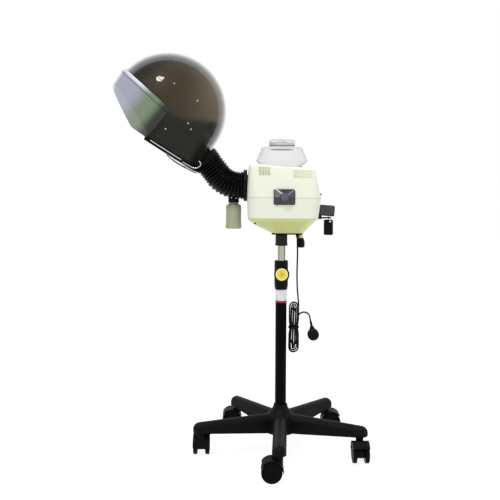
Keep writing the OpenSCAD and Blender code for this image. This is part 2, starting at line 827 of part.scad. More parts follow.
module jar_cap() {
    scallops = 12;
    bottom = jar_shoulder_z + 6;
    color("#e9eef0", 0.5) difference() {
        rotate_extrude() polygon([
            [0, bottom], [cap_r, bottom], [cap_r, cap_top_z - 4], [cap_r - 3, cap_top_z - 1],
            [cap_r - 14, cap_top_z], [0, cap_top_z - 2]
        ]);
        translate([0, 0, bottom - 1]) cylinder(h = jar_shoulder_z + 15 + seat_gap - bottom + 1, r = jar_neck_r + seat_gap);
        for (k = [0 : scallops - 1]) rotate(360 * k / scallops)
            translate([cap_r + 3.6, 0, bottom - 1]) cylinder(h = 40, r = 6);
    }
}

module hose_collar() {
    color("#0c0c0d") difference() {
        union() {
            translate([collar_face_x, 0, hose_z]) rotate([0, 90, 0]) rotate_extrude() polygon([
                [0, 0], [hose_collar_r - 3, 0], [hose_collar_r, 3], [hose_collar_r, hose_collar_len], [0, hose_collar_len]
            ]);
            translate([collar_face_x, 0, hose_z]) rotate([0, 90, 0]) cylinder(h = hose_collar_len + 10, r = 34);
        }
        translate([collar_face_x - 1, 0, hose_z]) rotate([0, 90, 0]) cylinder(h = 50, r = 31);
    }
}

// Point and direction on the hose's centre line, at a distance from the collar
function hose_at(s) =
    s < hose_straight ? [[collar_face_x - s, 0, hose_z], [-1, 0, 0]] :
    s < hose_straight + bend_len ?
        let (a = (s - hose_straight) / hose_bend_r * 180 / PI)
        [[bend_start_x - hose_bend_r * sin(a), 0, hose_z + hose_bend_r * (1 - cos(a))], [-cos(a), 0, sin(a)]] :
        let (u = (s - hose_straight - bend_len) / hose_run)
        [bend_end + u * run_vector, [-cos(run_angle), 0, sin(run_angle)]];

module steam_hose() {
    sides = 20;
    pitch = hose_len / rib_count;
    root_r = hose_r - rib_depth;
    cuts = [for (k = [0 : rib_count - 1]) each [
        [k * pitch, root_r], [(k + 0.3) * pitch, hose_r], [(k + 0.65) * pitch, hose_r], [(k + 0.95) * pitch, root_r]
    ]];
    stations = concat(cuts, [[hose_len, root_r]]);
    outer = [for (s = stations) each tube_ring(hose_at(s[0])[0], hose_at(s[0])[1], s[1], sides, [0, 1, 0])];
    bore_s = [for (k = [0 : rib_count]) k * pitch];
    inner = [for (s = bore_s) each tube_ring(hose_at(s)[0], hose_at(s)[1], hose_bore_r, sides, [0, 1, 0])];
    n_out = len(stations);
    n_in = len(bore_s);
    shift = n_out * sides;
    outer_faces = ring_faces(n_out, sides);
    inner_faces = [for (f = ring_faces(n_in, sides)) [f[2] + shift, f[1] + shift, f[0] + shift]];
    last_out = (n_out - 1) * sides;
    last_in = shift + (n_in - 1) * sides;
    start_faces = [for (k = [0 : sides - 1]) let (m = (k + 1) % sides)
        each [[m, k, shift + k], [m, shift + k, shift + m]]];
    end_faces = [for (k = [0 : sides - 1]) let (m = (k + 1) % sides)
        each [[last_out + k, last_out + m, last_in + m], [last_out + k, last_in + m, last_in + k]]];
    faces = concat(outer_faces, inner_faces, start_faces, end_faces);
    color("#0a0a0b") polyhedron(concat(outer, inner), [for (f = faces) [f[2], f[1], f[0]]]);
}

module steam_holes(r) {
    for (k = [0 : 3]) rotate(45 + 90 * k) translate([20, 0, -10]) cylinder(h = 30, r = r);
}

module elbow_bracket() {
    arm_len = collar_face_x - elbow[0];
    color("#9a9da2") difference() {
        union() {
            translate([collar_face_x, 0, hose_z]) rotate([0, -90, 0]) difference() {
                cylinder(h = 4, r = hose_bore_r - 1.5);
                steam_holes(8);
            }
            for (s = [-1, 1]) {
                translate([elbow[0], s * 7.2, elbow[2]]) rotate([90, 0, 0]) cylinder(h = 5, r = 12, center = true);
                translate([elbow[0], s * 7.2 - 2.5, hose_z - 9]) cube([arm_len, 5, 18]);
            }
            translate(elbow) rotate([90, 0, 0]) cylinder(h = 19.4, r = elbow_pin_r, center = true);
        }
        difference() {
            translate(elbow) rotate([90, 0, 0]) cylinder(h = 9.2, r = 14, center = true);
            translate(elbow) rotate([90, 0, 0]) cylinder(h = 30, r = elbow_pin_r, center = true);
        }
    }
}

module hood_arm() {
    bar_len = norm(hose_end - elbow);
    bar_angle = atan2(hose_end[2] - elbow[2], elbow[0] - hose_end[0]);
    color("#9a9da2") difference() {
        union() {
            translate(elbow) rotate([90, 0, 0]) cylinder(h = 8, r = 12, center = true);
            translate(elbow) rotate([0, bar_angle, 0]) translate([-bar_len + 2, -4, -9]) cube([bar_len - 2, 8, 18]);
            translate(hose_end) rotate([0, run_angle, 0]) rotate([0, 90, 0]) difference() {
                cylinder(h = 4, r = hose_bore_r - 1.5);
                steam_holes(8);
            }
        }
        translate(elbow) rotate([90, 0, 0]) cylinder(h = 30, r = elbow_pin_r + run_gap, center = true);
    }
}

module along_neck() {
    translate(hose_end) rotate([0, run_angle, 0]) rotate([0, -90, 0]) children();
}

module neck_hole(r) {
    along_neck() translate([6, 0, -20]) cylinder(h = 70, r = r);
}

module hood_neck() {
    color("#0d0d0e") difference() {
        union() {
            difference() {
                along_neck() translate([0, 0, seat_gap]) cylinder(h = 45, r = hose_r - 1);
                in_hood() dome_form(dome_r + seat_gap, 300);
            }
            intersection() {
                along_neck() translate([6, 0, 2]) cylinder(h = 40, r = 24);
                in_hood() difference() {
                    dome_form(400, 300);
                    translate([0, 0, -eps]) dome_form(bowl_r + 6, 301);
                }
            }
        }
        along_neck() translate([6, 0, -1]) cylinder(h = 80, r = 20);
    }
}

module drip_neck() {
    nozzle = 9;
    color("#101011") difference() {
        union() {
            translate([cup_x, 0, cup_top_z + seat_gap]) cylinder(h = 30, r = cup_mouth_r + 4);
            translate([cup_x, 0, cup_top_z - nozzle]) cylinder(h = nozzle + 1, r = cup_mouth_r - seat_gap);
        }
        translate([bend_start_x, 0, hose_z + hose_bend_r]) rotate([90, 0, 0]) rotate_extrude()
            translate([hose_bend_r, 0]) circle(hose_r + seat_gap);
        translate([cup_x - 40, -40, hose_z - 30]) cube([80, 80, 60]);
        translate([cup_x, 0, cup_top_z - nozzle - 1]) cylinder(h = 60, r = cup_mouth_r - 4);
    }
}

module drip_cup() {
    wall = 2;
    waist_r = cup_r - 1.5;
    color("#9a9c80") translate([cup_x, 0, 0]) rotate_extrude() polygon(concat(
        [[0, cup_bottom_z], [cup_r - 3, cup_bottom_z]],
        arc([cup_r - 3, cup_bottom_z + 3], 3, -90, 0, 3),
        [[waist_r, cup_bottom_z + 24], [waist_r, cup_top_z - 14]],
        arc([waist_r - 8, cup_top_z - 14], 8, 0, 60, 4),
        [[cup_mouth_r + wall, cup_top_z - 5], [cup_mouth_r + wall, cup_top_z], [cup_mouth_r, cup_top_z]],
        [[cup_mouth_r, cup_top_z - 7], [waist_r - 5, cup_top_z - 11], [waist_r - wall, cup_top_z - 16]],
        [[waist_r - wall, cup_bottom_z + 24], [cup_r - wall - 1, cup_bottom_z + wall + 1]],
        [[cup_r - wall - 2, cup_bottom_z + wall], [0, cup_bottom_z + wall]]
    ));
}

module drain_spout() {
    color("#e9e9cf") difference() {
        translate([drain_x, 0, drain_cap_top_z - 14]) cylinder(h = house_bottom_z + 14 - drain_cap_top_z + 14, r = drain_r);
        translate([drain_x, 0, drain_cap_top_z - 20]) cylinder(h = 80, r = drain_r - 2.5);
    }
}

module drain_cap() {
    bottom = drain_cap_top_z - 30;
    color("#0d0d0e") translate([drain_x, 0, 0]) rotate_extrude() difference() {
        polygon(concat(
            [[0, bottom], [drain_cap_r - 5, bottom]],
            arc([drain_cap_r - 5, bottom + 5], 5, -90, 0, 4),
            [[drain_cap_r, drain_cap_top_z - 9], [drain_cap_r - 2.5, drain_cap_top_z - 7]],
            [[drain_cap_r - 2.5, drain_cap_top_z], [0, drain_cap_top_z]]
        ));
        translate([0, drain_cap_top_z - 15]) square([drain_r + run_gap, 40]);
    }
}

module cord_gland() {
    top = house_bottom_z + 6;
    color("#121213") translate([cord_exit[0], cord_exit[1], 0]) difference() {
        rotate_extrude() polygon([
            [0, CORD_ROUTE[0][2]], [cord_r + 1, CORD_ROUTE[0][2]], [cord_r + 3, plate_z - 2], [cord_r + 3, top], [0, top]
        ]);
        translate([0, 0, house_bottom_z]) cylinder(h = 20, r = cord_r);
    }
}

module side_grip() {
    color("#4a4b4e") difference() {
        union() {
            translate([grip_x + 1.5, 0, grip_z]) rotate([0, 4, 0]) {
                hull() for (x = [5, grip_len - 6], s = [-1, 1], u = [-1, 1])
                    translate([x, s * 13, u * (grip_h / 2 - 5)]) sphere(5, $fn = 16);
            }
            translate([grip_x - 6, -6, rod_z - 4]) cube([14, 12, 16]);
            translate([grip_x, 0, rod_z]) rotate([0, 90, 0]) cylinder(h = 38, r = rod_r);
        }
        difference() {
            translate([60, -60, 600]) cube([80, 120, seam_z - 600]);
            translate([house_right - 8, -60, 600]) cube([80, 120, 400]);
        }
        lower_form(-seat_gap);
    }
}

module hang_tag() {
    ring_r = rod_r + seat_gap + 1;
    tag_top = rod_z - 5.5;
    color("#101010") {
        translate([tag_x, 0, rod_z]) rotate([0, 90, 0]) rotate_extrude() translate([ring_r, 0]) circle(0.9);
        translate([tag_x, 0, tag_top - 3]) cylinder(h = rod_z - ring_r - tag_top + 3, r = 0.9);
        translate([tag_x, 0, tag_top - tag_h / 2]) rotate([90, 0, 0]) difference() {
            linear_extrude(2.4, center = true) rounded_plate(tag_w, tag_h, 5);
            translate([5, tag_h / 2 - 6, -5]) cylinder(h = 10, r = 1.6);
        }
    }
}

module supply_cord() {
    color("#0b0b0b") swept_tube(CORD_ROUTE, cord_r, 8, [0, 1, 0]);
}

module plug_lead() {
    color("#0b0b0b") swept_tube(LEAD_ROUTE, cord_r, 8, [0, 1, 0]);
}

// The hank's runs stand round a bundle, each turned a little further, with nested folds at both ends
run_steps = 6;
bend_steps = 7;
last_run = 2 * hank_loops - 1;
function pinch(z) = hank_waist * exp(-pow((z - hank_tie_z) / 15, 2));
function run_top(k) = hank_top_z - hank_r - hank_nest * max(0, floor((k - 1) / 2));
function run_foot(k) = hank_bottom_z + hank_r + hank_nest * floor(k / 2);
function in_bundle(r, a, z) = [hank_x + r * cos(a), r * sin(a), z];
function run_point(k, u) =
    let (
        w = k % 2 == 0 ? 1 - u : u,
        z = run_foot(k) + (run_top(k) - run_foot(k)) * w
    )
    in_bundle(hank_r - pinch(z), 180 * k + hank_turn * (k + u), z);
function fold_point(k, u) =
    let (
        a = 180 * k + hank_turn * (k + 1),
        s = k % 2 == 0 ? -1 : 1,
        c = k % 2 == 0 ? run_foot(k) : run_top(k)
    )
    in_bundle(hank_r * cos(180 * u), a, c + s * hank_r * sin(180 * u));
function plane_side(a) = [-sin(a), cos(a), 0];
hank_points = concat(
    [for (k = [0 : last_run - 1]) each concat(
        [for (i = [0 : run_steps - 1]) run_point(k, i / run_steps)],
        [for (i = [0 : bend_steps - 1]) fold_point(k, i / bend_steps)]
    )],
    [for (i = [0 : run_steps - 2]) run_point(last_run, i / run_steps)],
    [LEAD_ROUTE[0] - [0.4, -0.2, 7], LEAD_ROUTE[0]]
);
hank_sides = concat(
    [for (k = [0 : last_run - 1]) each concat(
        [for (i = [0 : run_steps - 1]) plane_side(hank_turn * (k + i / run_steps))],
        [for (i = [0 : bend_steps - 1]) plane_side(hank_turn * (k + 1))]
    )],
    [for (i = [0 : run_steps]) plane_side(hank_turn * (last_run + i / run_steps))]
);
hank_gap = min([
    for (i = [0 : len(hank_points) - 1], j = [i + 4 : 1 : len(hank_points) - 1])
        norm(hank_points[i] - hank_points[j]) - cord_d
]);
echo(hank_least_gap = hank_gap);

module cord_hank() {
    color("#0b0b0b") swept_tube(hank_points, cord_r, 6, hank_sides);
}

tie_slack = 0.5;

module hank_tie() {
    inner_r = hank_r - hank_waist + cord_r + tie_slack;
    color("#151515") translate([hank_x, 0, hank_tie_z - 3]) difference() {
        cylinder(h = 6, r = inner_r + 1.6);
        translate([0, 0, -1]) cylinder(h = 8, r = inner_r);
    }
}

module mains_plug() {
    body_c = plug_entry + plug_reach * plug_dir;
    color("#0d0d0d") difference() {
        union() {
            translate(body_c) rotate([90, 0, 0]) rotate_extrude() polygon([
                [0, -plug_t / 2], [plug_r - 3, -plug_t / 2], [plug_r, -plug_t / 2 + 4],
                [plug_r, plug_t / 2 - 5], [plug_r - 5, plug_t / 2], [0, plug_t / 2]
            ]);
            translate(plug_entry) rotate([0, 180 - plug_angle, 0]) rotate_extrude() polygon([
                [0, 0], [cord_r + 1, 0], [cord_r + 1.6, 14], [cord_r + 5.5, 22], [plug_r - 6, plug_reach], [0, plug_reach]
            ]);
            for (s = [-1, 1]) translate(body_c + s * 9.5 * plug_side) rotate([-90, 0, 0]) cylinder(h = plug_t / 2 + 19, r = 2.4);
        }
        for (s = [-1, 1]) translate(body_c + s * 17.5 * plug_side) rotate([-90, 0, 0]) cylinder(h = 40, r = 2.6);
    }
}

module hood_dome() {
    color("#463e34", 0.85) in_hood() difference() {
        dome_shell(dome_r, dome_r - dome_t, dome_drop);
        face_opening();
        for (s = [-1, 1]) translate([visor_pivot[0], 0, visor_pivot[1]]) rotate([90, 0, 0])
            cylinder(h = 3 * dome_r, r = visor_pin_r + run_gap, center = true);
        in_hood_space() neck_hole(24 + seat_gap);
    }
}

module in_hood_space() {
    rotate([0, -hood_tilt, 0]) translate([-hood_x, 0, -hood_z]) children();
}

module inner_bowl() {
    t = 2.5;
    color("#5a4a3c") in_hood() difference() {
        dome_shell(bowl_r, bowl_r - t, dome_drop + rim_h - 3 - seat_gap);
        face_opening();
    }
}

module hood_skirt() {
    outer = dome_r - dome_t - seat_gap;
    color("#32342e") in_hood() difference() {
        dome_shell(outer, outer - 2.5, dome_drop);
        face_opening();
        across_hood([
            [-260, -2], [69, -1], [97, -3], [121, -9], [142, -18], [162, -32], [198, -58], [260, -58],
            [260, 260], [-260, 260]
        ]);
        translate([visor_pivot[0], 0, visor_pivot[1]]) rotate([90, 0, 0])
            cylinder(h = 3 * dome_r, r = 6 + seat_gap, center = true);
        in_hood_space() neck_hole(24 + seat_gap);
    }
}

module rim_ring() {
    color("#101010") in_hood() difference() {
        rotate_extrude() polygon([
            [bowl_r - 4, -dome_drop - rim_h], [dome_r + 1.5, -dome_drop - rim_h],
            [dome_r + 1.5, -dome_drop + 4], [dome_r + seat_gap, -dome_drop + 4],
            [dome_r + seat_gap, -dome_drop - seat_gap], [dome_r - 6, -dome_drop - seat_gap],
            [dome_r - 6, -dome_drop - rim_h + 3], [bowl_r - 4, -dome_drop - rim_h + 3]
        ]);
        face_opening();
        in_hood_space() along_neck() translate([0, 0, -40]) cylinder(h = 100, r = hose_r + 1.5);
    }
}

module rim_wires() {
    color("#d9dcdf") in_hood() for (s = [0, 1]) mirror([0, s, 0]) {
        translate([0, 0, -dome_drop - rim_h - wire_r - 0.2]) rotate([0, 0, -92]) rotate_extrude(angle = 66)
            translate([dome_r - 4, 0]) circle(wire_r, $fn = 24);
    }
}

module visor_pivots() {
    y_in = dome_r - dome_t - 3.4;
    head_y = band_out_r + seat_gap;
    color("#c6c9cc") in_hood() for (s = [0, 1]) mirror([0, s, 0])
        translate([visor_pivot[0], -y_in, visor_pivot[1]]) rotate([90, 0, 0]) {
            cylinder(h = head_y - y_in + 1, r = visor_pin_r);
            translate([0, 0, head_y - y_in]) cylinder(h = 2.5, r = 5.5);
            cylinder(h = 2.8, r = 6);
        }
}

// Side outline of the visor
function visor_side(left) = [
    visor_corner,
    [left, visor_corner[1] + (visor_corner[0] - left) * tan(visor_rise)],
    [left, visor_front[1] + (left - visor_front[0]) * (visor_face[1] - visor_front[1]) / (visor_face[0] - visor_front[0])],
    visor_face,
    visor_rear
];

module visor() {
    color("#8f97a0", 0.8) in_hood() difference() {
        union() {
            intersection() {
                dome_shell(visor_out_r, visor_in_r, dome_drop + 5);
                across_hood(visor_side(-260));
            }
            intersection() {
                dome_shell(band_out_r, visor_out_r - 1, dome_drop);
                across_hood([
                    visor_corner,
                    [-260, visor_corner[1] + (visor_corner[0] + 260) * tan(visor_rise)],
                    [-260, visor_corner[1] - visor_band_w + (visor_corner[0] + 260) * tan(visor_rise)],
                    visor_corner - [0, visor_band_w]
                ]);
            }
        }
        for (s = [-1, 1]) translate([visor_pivot[0], 0, visor_pivot[1]]) rotate([90, 0, 0])
            cylinder(h = 3 * dome_r, r = visor_pin_r + run_gap, center = true);
    }
}

star_base();
column_tube();
clamp_collar();
pole_bush();
clamp_knob();
knob_disc();
clamp_screw();
pole();
pole_socket();
mount_plate();
housing_lower();
housing_upper();
control_plate();
timer_unit();
boiler_tank();
heater_element();
tank_seal();
hose_collar();
steam_hose();
elbow_bracket();
drip_neck();
drain_spout();
cord_gland();
side_grip();
supply_cord();
cord_hank();
hank_tie();
plug_lead();
mains_plug();
timer_knob();
power_button();
water_jar();
jar_cap();
drip_cup();
drain_cap();
hang_tag();
hood_dome();
inner_bowl();
hood_skirt();
rim_ring();
hood_neck();
hood_arm();
rim_wires();
visor_pivots();
visor();
caster_hood(0);  // caster_hood_1
caster_hood(1);  // caster_hood_2
caster_hood(2);  // caster_hood_3
caster_hood(3);  // caster_hood_4
caster_hood(4);  // caster_hood_5
caster_stem(0);  // caster_stem_1
caster_stem(1);  // caster_stem_2
caster_stem(2);  // caster_stem_3
caster_stem(3);  // caster_stem_4
caster_stem(4);  // caster_stem_5
caster_wheels(0);  // caster_wheels_1
caster_wheels(1);  // caster_wheels_2
caster_wheels(2);  // caster_wheels_3
caster_wheels(3);  // caster_wheels_4
caster_wheels(4);  // caster_wheels_5
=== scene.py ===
"""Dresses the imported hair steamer: studio, mains cord, steam hose, trim and finishes.

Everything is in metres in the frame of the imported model, unless a comment or a docstring says
millimetres: the origin is on the floor under the column, +Z is up, -Y is the control side and
-X is the hood side.
"""

import json
import logging
import math
from collections.abc import Callable, Iterable, Sequence
from dataclasses import dataclass, field
from enum import Enum

import bmesh
import bpy
from mathutils import Matrix, Vector

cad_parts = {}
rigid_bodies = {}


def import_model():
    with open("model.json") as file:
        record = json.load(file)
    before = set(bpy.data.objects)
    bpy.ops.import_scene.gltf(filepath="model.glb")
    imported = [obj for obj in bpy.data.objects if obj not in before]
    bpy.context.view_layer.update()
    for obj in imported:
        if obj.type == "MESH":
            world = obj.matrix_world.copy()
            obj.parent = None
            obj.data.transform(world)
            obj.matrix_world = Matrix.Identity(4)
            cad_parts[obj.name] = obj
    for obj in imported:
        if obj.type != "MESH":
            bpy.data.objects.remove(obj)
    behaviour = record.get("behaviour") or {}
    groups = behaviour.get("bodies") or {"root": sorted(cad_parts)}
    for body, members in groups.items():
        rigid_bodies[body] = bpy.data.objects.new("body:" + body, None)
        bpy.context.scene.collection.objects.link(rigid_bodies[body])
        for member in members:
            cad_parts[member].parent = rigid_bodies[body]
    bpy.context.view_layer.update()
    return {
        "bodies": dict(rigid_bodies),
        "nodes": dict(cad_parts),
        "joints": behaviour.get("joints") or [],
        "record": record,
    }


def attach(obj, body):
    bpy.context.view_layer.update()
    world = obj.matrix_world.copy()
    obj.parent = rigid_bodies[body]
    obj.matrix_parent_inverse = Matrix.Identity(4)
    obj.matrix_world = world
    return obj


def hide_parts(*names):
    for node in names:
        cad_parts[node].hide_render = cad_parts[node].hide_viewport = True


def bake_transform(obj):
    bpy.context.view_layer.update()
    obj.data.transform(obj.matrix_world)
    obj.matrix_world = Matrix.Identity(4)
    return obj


LOG = logging.getLogger("hair_steamer")
MM = 0.001
Rgb = tuple[int, int, int]
Pair = tuple[float, float]
Triple = tuple[float, float, float]
ORIGIN = (0.0, 0.0, 0.0)
RIGHT = (1.0, 0.0, 0.0)
LEFT = (-1.0, 0.0, 0.0)
BACK = (0.0, 1.0, 0.0)
UP = (0.0, 0.0, 1.0)
DOWN = (0.0, 0.0, -1.0)
WHITE = (1.0, 1.0, 1.0, 1.0)
DUST_GREY = (150, 148, 142)
MOTTLE_SCALE = 14.0
BRUSH_STRETCH = (1.0, 1.0, 0.03)
COAT_ROUGHNESS = 0.04
SIDES = ((-1, "l"), (1, "r"))


class Body(str, Enum):
    """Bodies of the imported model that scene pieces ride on."""

    STAND = "stand"
    HEAD = "head"
    HOOD = "hood"
    VISOR = "visor"
    JAR = "jar"
    CAP = "cap"
    TAG = "tag"


class Grain(Enum):
    """Surface grain of a finish: pattern scale, bump height in metres and share of mottling."""

    POLISHED = (260.0, 0.000004, 0.06)
    GLOSS = (420.0, 0.000010, 0.12)
    SATIN = (900.0, 0.000030, 0.20)
    SPARK = (1500.0, 0.000070, 0.25)
    RUBBER = (700.0, 0.000050, 0.30)
    BRUSHED = (1300.0, 0.000020, 0.35)


class FadeBy(Enum):
    """What drives the second colour of a finish."""

    POSITION = "position"
    NORMAL = "normal"
    RADIUS = "radius"
    PLANE = "plane"


class Pick(Enum):
    """What an edit works on."""

    FACES = "FACE"
    EDGES = "EDGE"


def linear(color: Rgb) -> tuple[float, float, float, float]:
    """Turns a display colour into the linear colour that a shader takes.

    Args:
        color: Red, green and blue from 0 to 255.

    Returns:
        Linear red, green and blue with a full alpha.
    """
    parts = [v / 255 for v in color]
    parts = [v / 12.92 if v <= 0.04045 else ((v + 0.055) / 1.055) ** 2.4 for v in parts]
    return (parts[0], parts[1], parts[2], 1.0)


def metres(points: Iterable[Sequence[float]]) -> list[Vector]:
    """Turns points given in millimetres into vectors in metres."""
    return [Vector(p) * MM for p in points]


class Graph:
    """Adds nodes to one node tree and joins them."""

    def __init__(self, tree: bpy.types.NodeTree) -> None:
        """Keeps the tree that the nodes go into."""
        self.tree = tree

    def add(self, kind: str, values: dict[str | int, object] | None = None,
            **settings: object) -> bpy.types.Node:
        """Adds a node.

        Args:
            kind: Type name of the node.
            values: What its inputs take, as feed reads it.
            settings: Properties of the node itself.

        Returns:
            The new node.
        """
        node = self.tree.nodes.new(kind)
        for key, value in settings.items():
            setattr(node, key, value)
        self.feed(node, values or {})
        return node

    def feed(self, node: bpy.types.Node, values: dict[str | int, object]) -> None:
        """Joins sockets to the inputs of a node, or sets the inputs' own values.

        Args:
            node: The node.
            values: Name or number of each input, with a socket to join or a value to set.
        """
        for key, value in values.items():
            if isinstance(value, bpy.types.NodeSocket):
                self.tree.links.new(value, node.inputs[key])
            else:
                node.inputs[key].default_value = value

    def math(self, operation: str, first: object, second: object = 0.0) -> bpy.types.NodeSocket:
        """Adds a Math node and gives its result."""
        return self.add("ShaderNodeMath", {0: first, 1: second}, operation=operation).outputs[0]

    def vector(self, operation: str, first: object, second: Triple = ORIGIN) -> bpy.types.Node:
        """Adds a Vector Math node."""
        return self.add("ShaderNodeVectorMath", {0: first, 1: second}, operation=operation)

    def mix(self, factor: object, first: object, second: object) -> bpy.types.NodeSocket:
        """Mixes two colours and gives the result."""
        values = {0: factor, 6: first, 7: second}
        return self.add("ShaderNodeMix", values, data_type="RGBA").outputs[2]

    def remap(self, value: object, low: float, high: float, to_low: float = 0.0,
              to_high: float = 1.0) -> bpy.types.NodeSocket:
        """Maps a value from one range to another, smoothly and clamped."""
        return self.add("ShaderNodeMapRange", {
            "Value": value, "From Min": low, "From Max": high, "To Min": to_low,
            "To Max": to_high}, interpolation_type="SMOOTHSTEP").outputs["Result"]


class EffectGroups:
    """Node groups that several finishes share, each built once."""

    def __init__(self) -> None:
        """Builds the groups."""
        self.skin = self._skin()
        self.dust = self._dust()

    @staticmethod
    def _new(name: str, values: dict[str, float],
             outputs: Sequence[str]) -> tuple[Graph, bpy.types.Node, bpy.types.Node]:
        """Makes a group with a vector input, number inputs and number outputs.

        Args:
            name: Name of the group.
            values: Number inputs by name, with their default values.
            outputs: Names of the outputs.

        Returns:
            A graph on the group's tree, its input node and its output node.
        """
        tree = bpy.data.node_groups.new(name, "ShaderNodeTree")
        socket = tree.interface.new_socket
        socket(name="Vector", in_out="INPUT", socket_type="NodeSocketVector")
        for key, value in values.items():
            made = socket(name=key, in_out="INPUT", socket_type="NodeSocketFloat")
            made.default_value = value
        for key in outputs:
            socket(name=key, in_out="OUTPUT", socket_type="NodeSocketFloat")
        graph = Graph(tree)
        return graph, graph.add("NodeGroupInput"), graph.add("NodeGroupOutput")

    def _skin(self) -> bpy.types.NodeTree:
        """Builds the moulded skin: a fine grain height and a broad mottling tone.

        Returns:
            The group's tree.
        """
        graph, entry, leave = self._new(
            "Moulded Skin", {"Grain Scale": 900.0, "Mottle Scale": MOTTLE_SCALE, "Mottle": 0.2},
            ("Height", "Tone"))
        given = entry.outputs
        grain = graph.add("ShaderNodeTexNoise", {
            "Vector": given["Vector"], "Scale": given["Grain Scale"], "Detail": 2.0})
        mottle = graph.add("ShaderNodeTexNoise", {
            "Vector": given["Vector"], "Scale": given["Mottle Scale"], "Detail": 4.0,
            "Roughness": 0.6})
        tone = graph.remap(mottle.outputs["Fac"], 0.35, 0.68)
        graph.feed(leave, {"Height": grain.outputs["Fac"],
                           "Tone": graph.math("MULTIPLY", tone, given["Mottle"])})
        return graph.tree

    def _dust(self) -> bpy.types.NodeTree:
        """Builds the settled dust: a mask on faces that look up, broken by noise.

        Returns:
            The group's tree.
        """
        graph, entry, leave = self._new("Settled Dust", {"Amount": 0.1}, ("Mask",))
        normal = graph.add("ShaderNodeNewGeometry").outputs["Normal"]
        parts = graph.add("ShaderNodeSeparateXYZ", {"Vector": normal})
        upward = graph.remap(parts.outputs["Z"], 0.55, 1.0)
        specks = graph.add("ShaderNodeTexNoise", {
            "Vector": entry.outputs["Vector"], "Scale": 75.0, "Detail": 5.0})
        broken = graph.math("MULTIPLY", upward, graph.remap(specks.outputs["Fac"], 0.42, 0.7))
        graph.feed(leave, {"Mask": graph.math("MULTIPLY", broken, entry.outputs["Amount"])})
        return graph.tree


@dataclass(frozen=True)
class Fade:
    """A second colour that comes in along an axis, by the normal, round a line or off a plane."""

    color: Rgb
    by: FadeBy = FadeBy.POSITION
    axis: Triple = UP
    start: float = 0.0
    end: float = 1.0
    centre: Triple = ORIGIN

    def mask(self, graph: Graph, coordinates: bpy.types.NodeSocket) -> bpy.types.NodeSocket:
        """Builds the mask of the second colour.

        Args:
            graph: Graph of the material.
            coordinates: Object coordinates.

        Returns:
            A socket that is 0 at start and 1 at end.
        """
        if self.by is FadeBy.NORMAL:
            source = graph.add("ShaderNodeNewGeometry").outputs["Normal"]
        else:
            source = graph.vector("SUBTRACT", coordinates, self.centre).outputs["Vector"]
        if self.by is FadeBy.RADIUS:
            across = (1.0 - abs(self.axis[0]), 1.0 - abs(self.axis[1]), 1.0 - abs(self.axis[2]))
            flat = graph.vector("MULTIPLY", source, across).outputs["Vector"]
            along = graph.vector("LENGTH", flat).outputs["Value"]
        else:
            along = graph.vector("DOT_PRODUCT", source, self.axis).outputs["Value"]
        if self.by is FadeBy.PLANE:
            along = graph.math("ABSOLUTE", along)
        return graph.remap(along, self.start, self.end)


@dataclass(frozen=True)
class Finish:
    """A finish of the real product, and the record's material slot that it stands for.

    The colour is mottled with the shade, edge is the radius that a bevel shades on hard edges,
    and rim_alpha is the alpha where a see-through wall is seen along itself.
    """

    name: str
    slot: str
    color: Rgb
    shade: Rgb
    roughness: float
    grain: Grain = Grain.SATIN
    metallic: float = 0.0
    specular: float = 0.5
    coat: float = 0.0
    alpha: float = 1.0
    rim_alpha: float = 0.0
    dust: float = 0.0
    edge: float = 0.0
    fades: tuple[Fade, ...] = ()

    def build(self, groups: EffectGroups) -> bpy.types.Material:
        """Builds the node material once and gives it back on later calls.

        Args:
            groups: The shared effect groups.

        Returns:
            The material.
        """
        known = bpy.data.materials.get(self.name)
        if known is not None:
            return known
        material = bpy.data.materials.new(self.name)
        material.use_nodes = True
        graph = Graph(material.node_tree)
        shader = material.node_tree.nodes["Principled BSDF"]
        coordinates = graph.add("ShaderNodeTexCoord").outputs["Object"]
        scale, height, mottle = self.grain.value
        source = coordinates
        if self.grain is Grain.BRUSHED:
            source = graph.add("ShaderNodeMapping", {
                "Vector": coordinates, "Scale": BRUSH_STRETCH}).outputs["Vector"]
        skin = graph.add("ShaderNodeGroup", {
            "Vector": source, "Grain Scale": scale, "Mottle Scale": MOTTLE_SCALE,
            "Mottle": mottle}, node_tree=groups.skin).outputs
        color = graph.mix(skin["Tone"], linear(self.color), linear(self.shade))
        for fade in self.fades:
            color = graph.mix(fade.mask(graph, coordinates), color, linear(fade.color))
        if self.dust > 0:
            dust = graph.add("ShaderNodeGroup", {
                "Vector": coordinates, "Amount": self.dust}, node_tree=groups.dust)
            color = graph.mix(dust.outputs["Mask"], color, linear(DUST_GREY))
        roughest = min(1.0, self.roughness * 1.6 + 0.03)
        rough = graph.remap(skin["Tone"], 0.0, 1.0, self.roughness, roughest)
        bump = graph.add("ShaderNodeBump", {
            "Height": skin["Height"], "Strength": 0.5, "Distance": height})
        if self.edge > 0:
            rounded = graph.add("ShaderNodeBevel", {"Radius": self.edge}, samples=4)
            graph.feed(bump, {"Normal": rounded.outputs["Normal"]})
        graph.feed(shader, {
            "Base Color": color, "Roughness": rough, "Normal": bump.outputs["Normal"],
            "Metallic": self.metallic, "Specular IOR Level": self.specular,
            "Coat Weight": self.coat, "Coat Roughness": COAT_ROUGHNESS, "Alpha": self.alpha})
        if self.rim_alpha > 0:
            along = graph.add("ShaderNodeLayerWeight", {"Blend": 0.5}).outputs["Facing"]
            graph.feed(shader, {
                "Alpha": graph.remap(along, 0.5, 0.95, self.alpha, self.rim_alpha)})
        return material


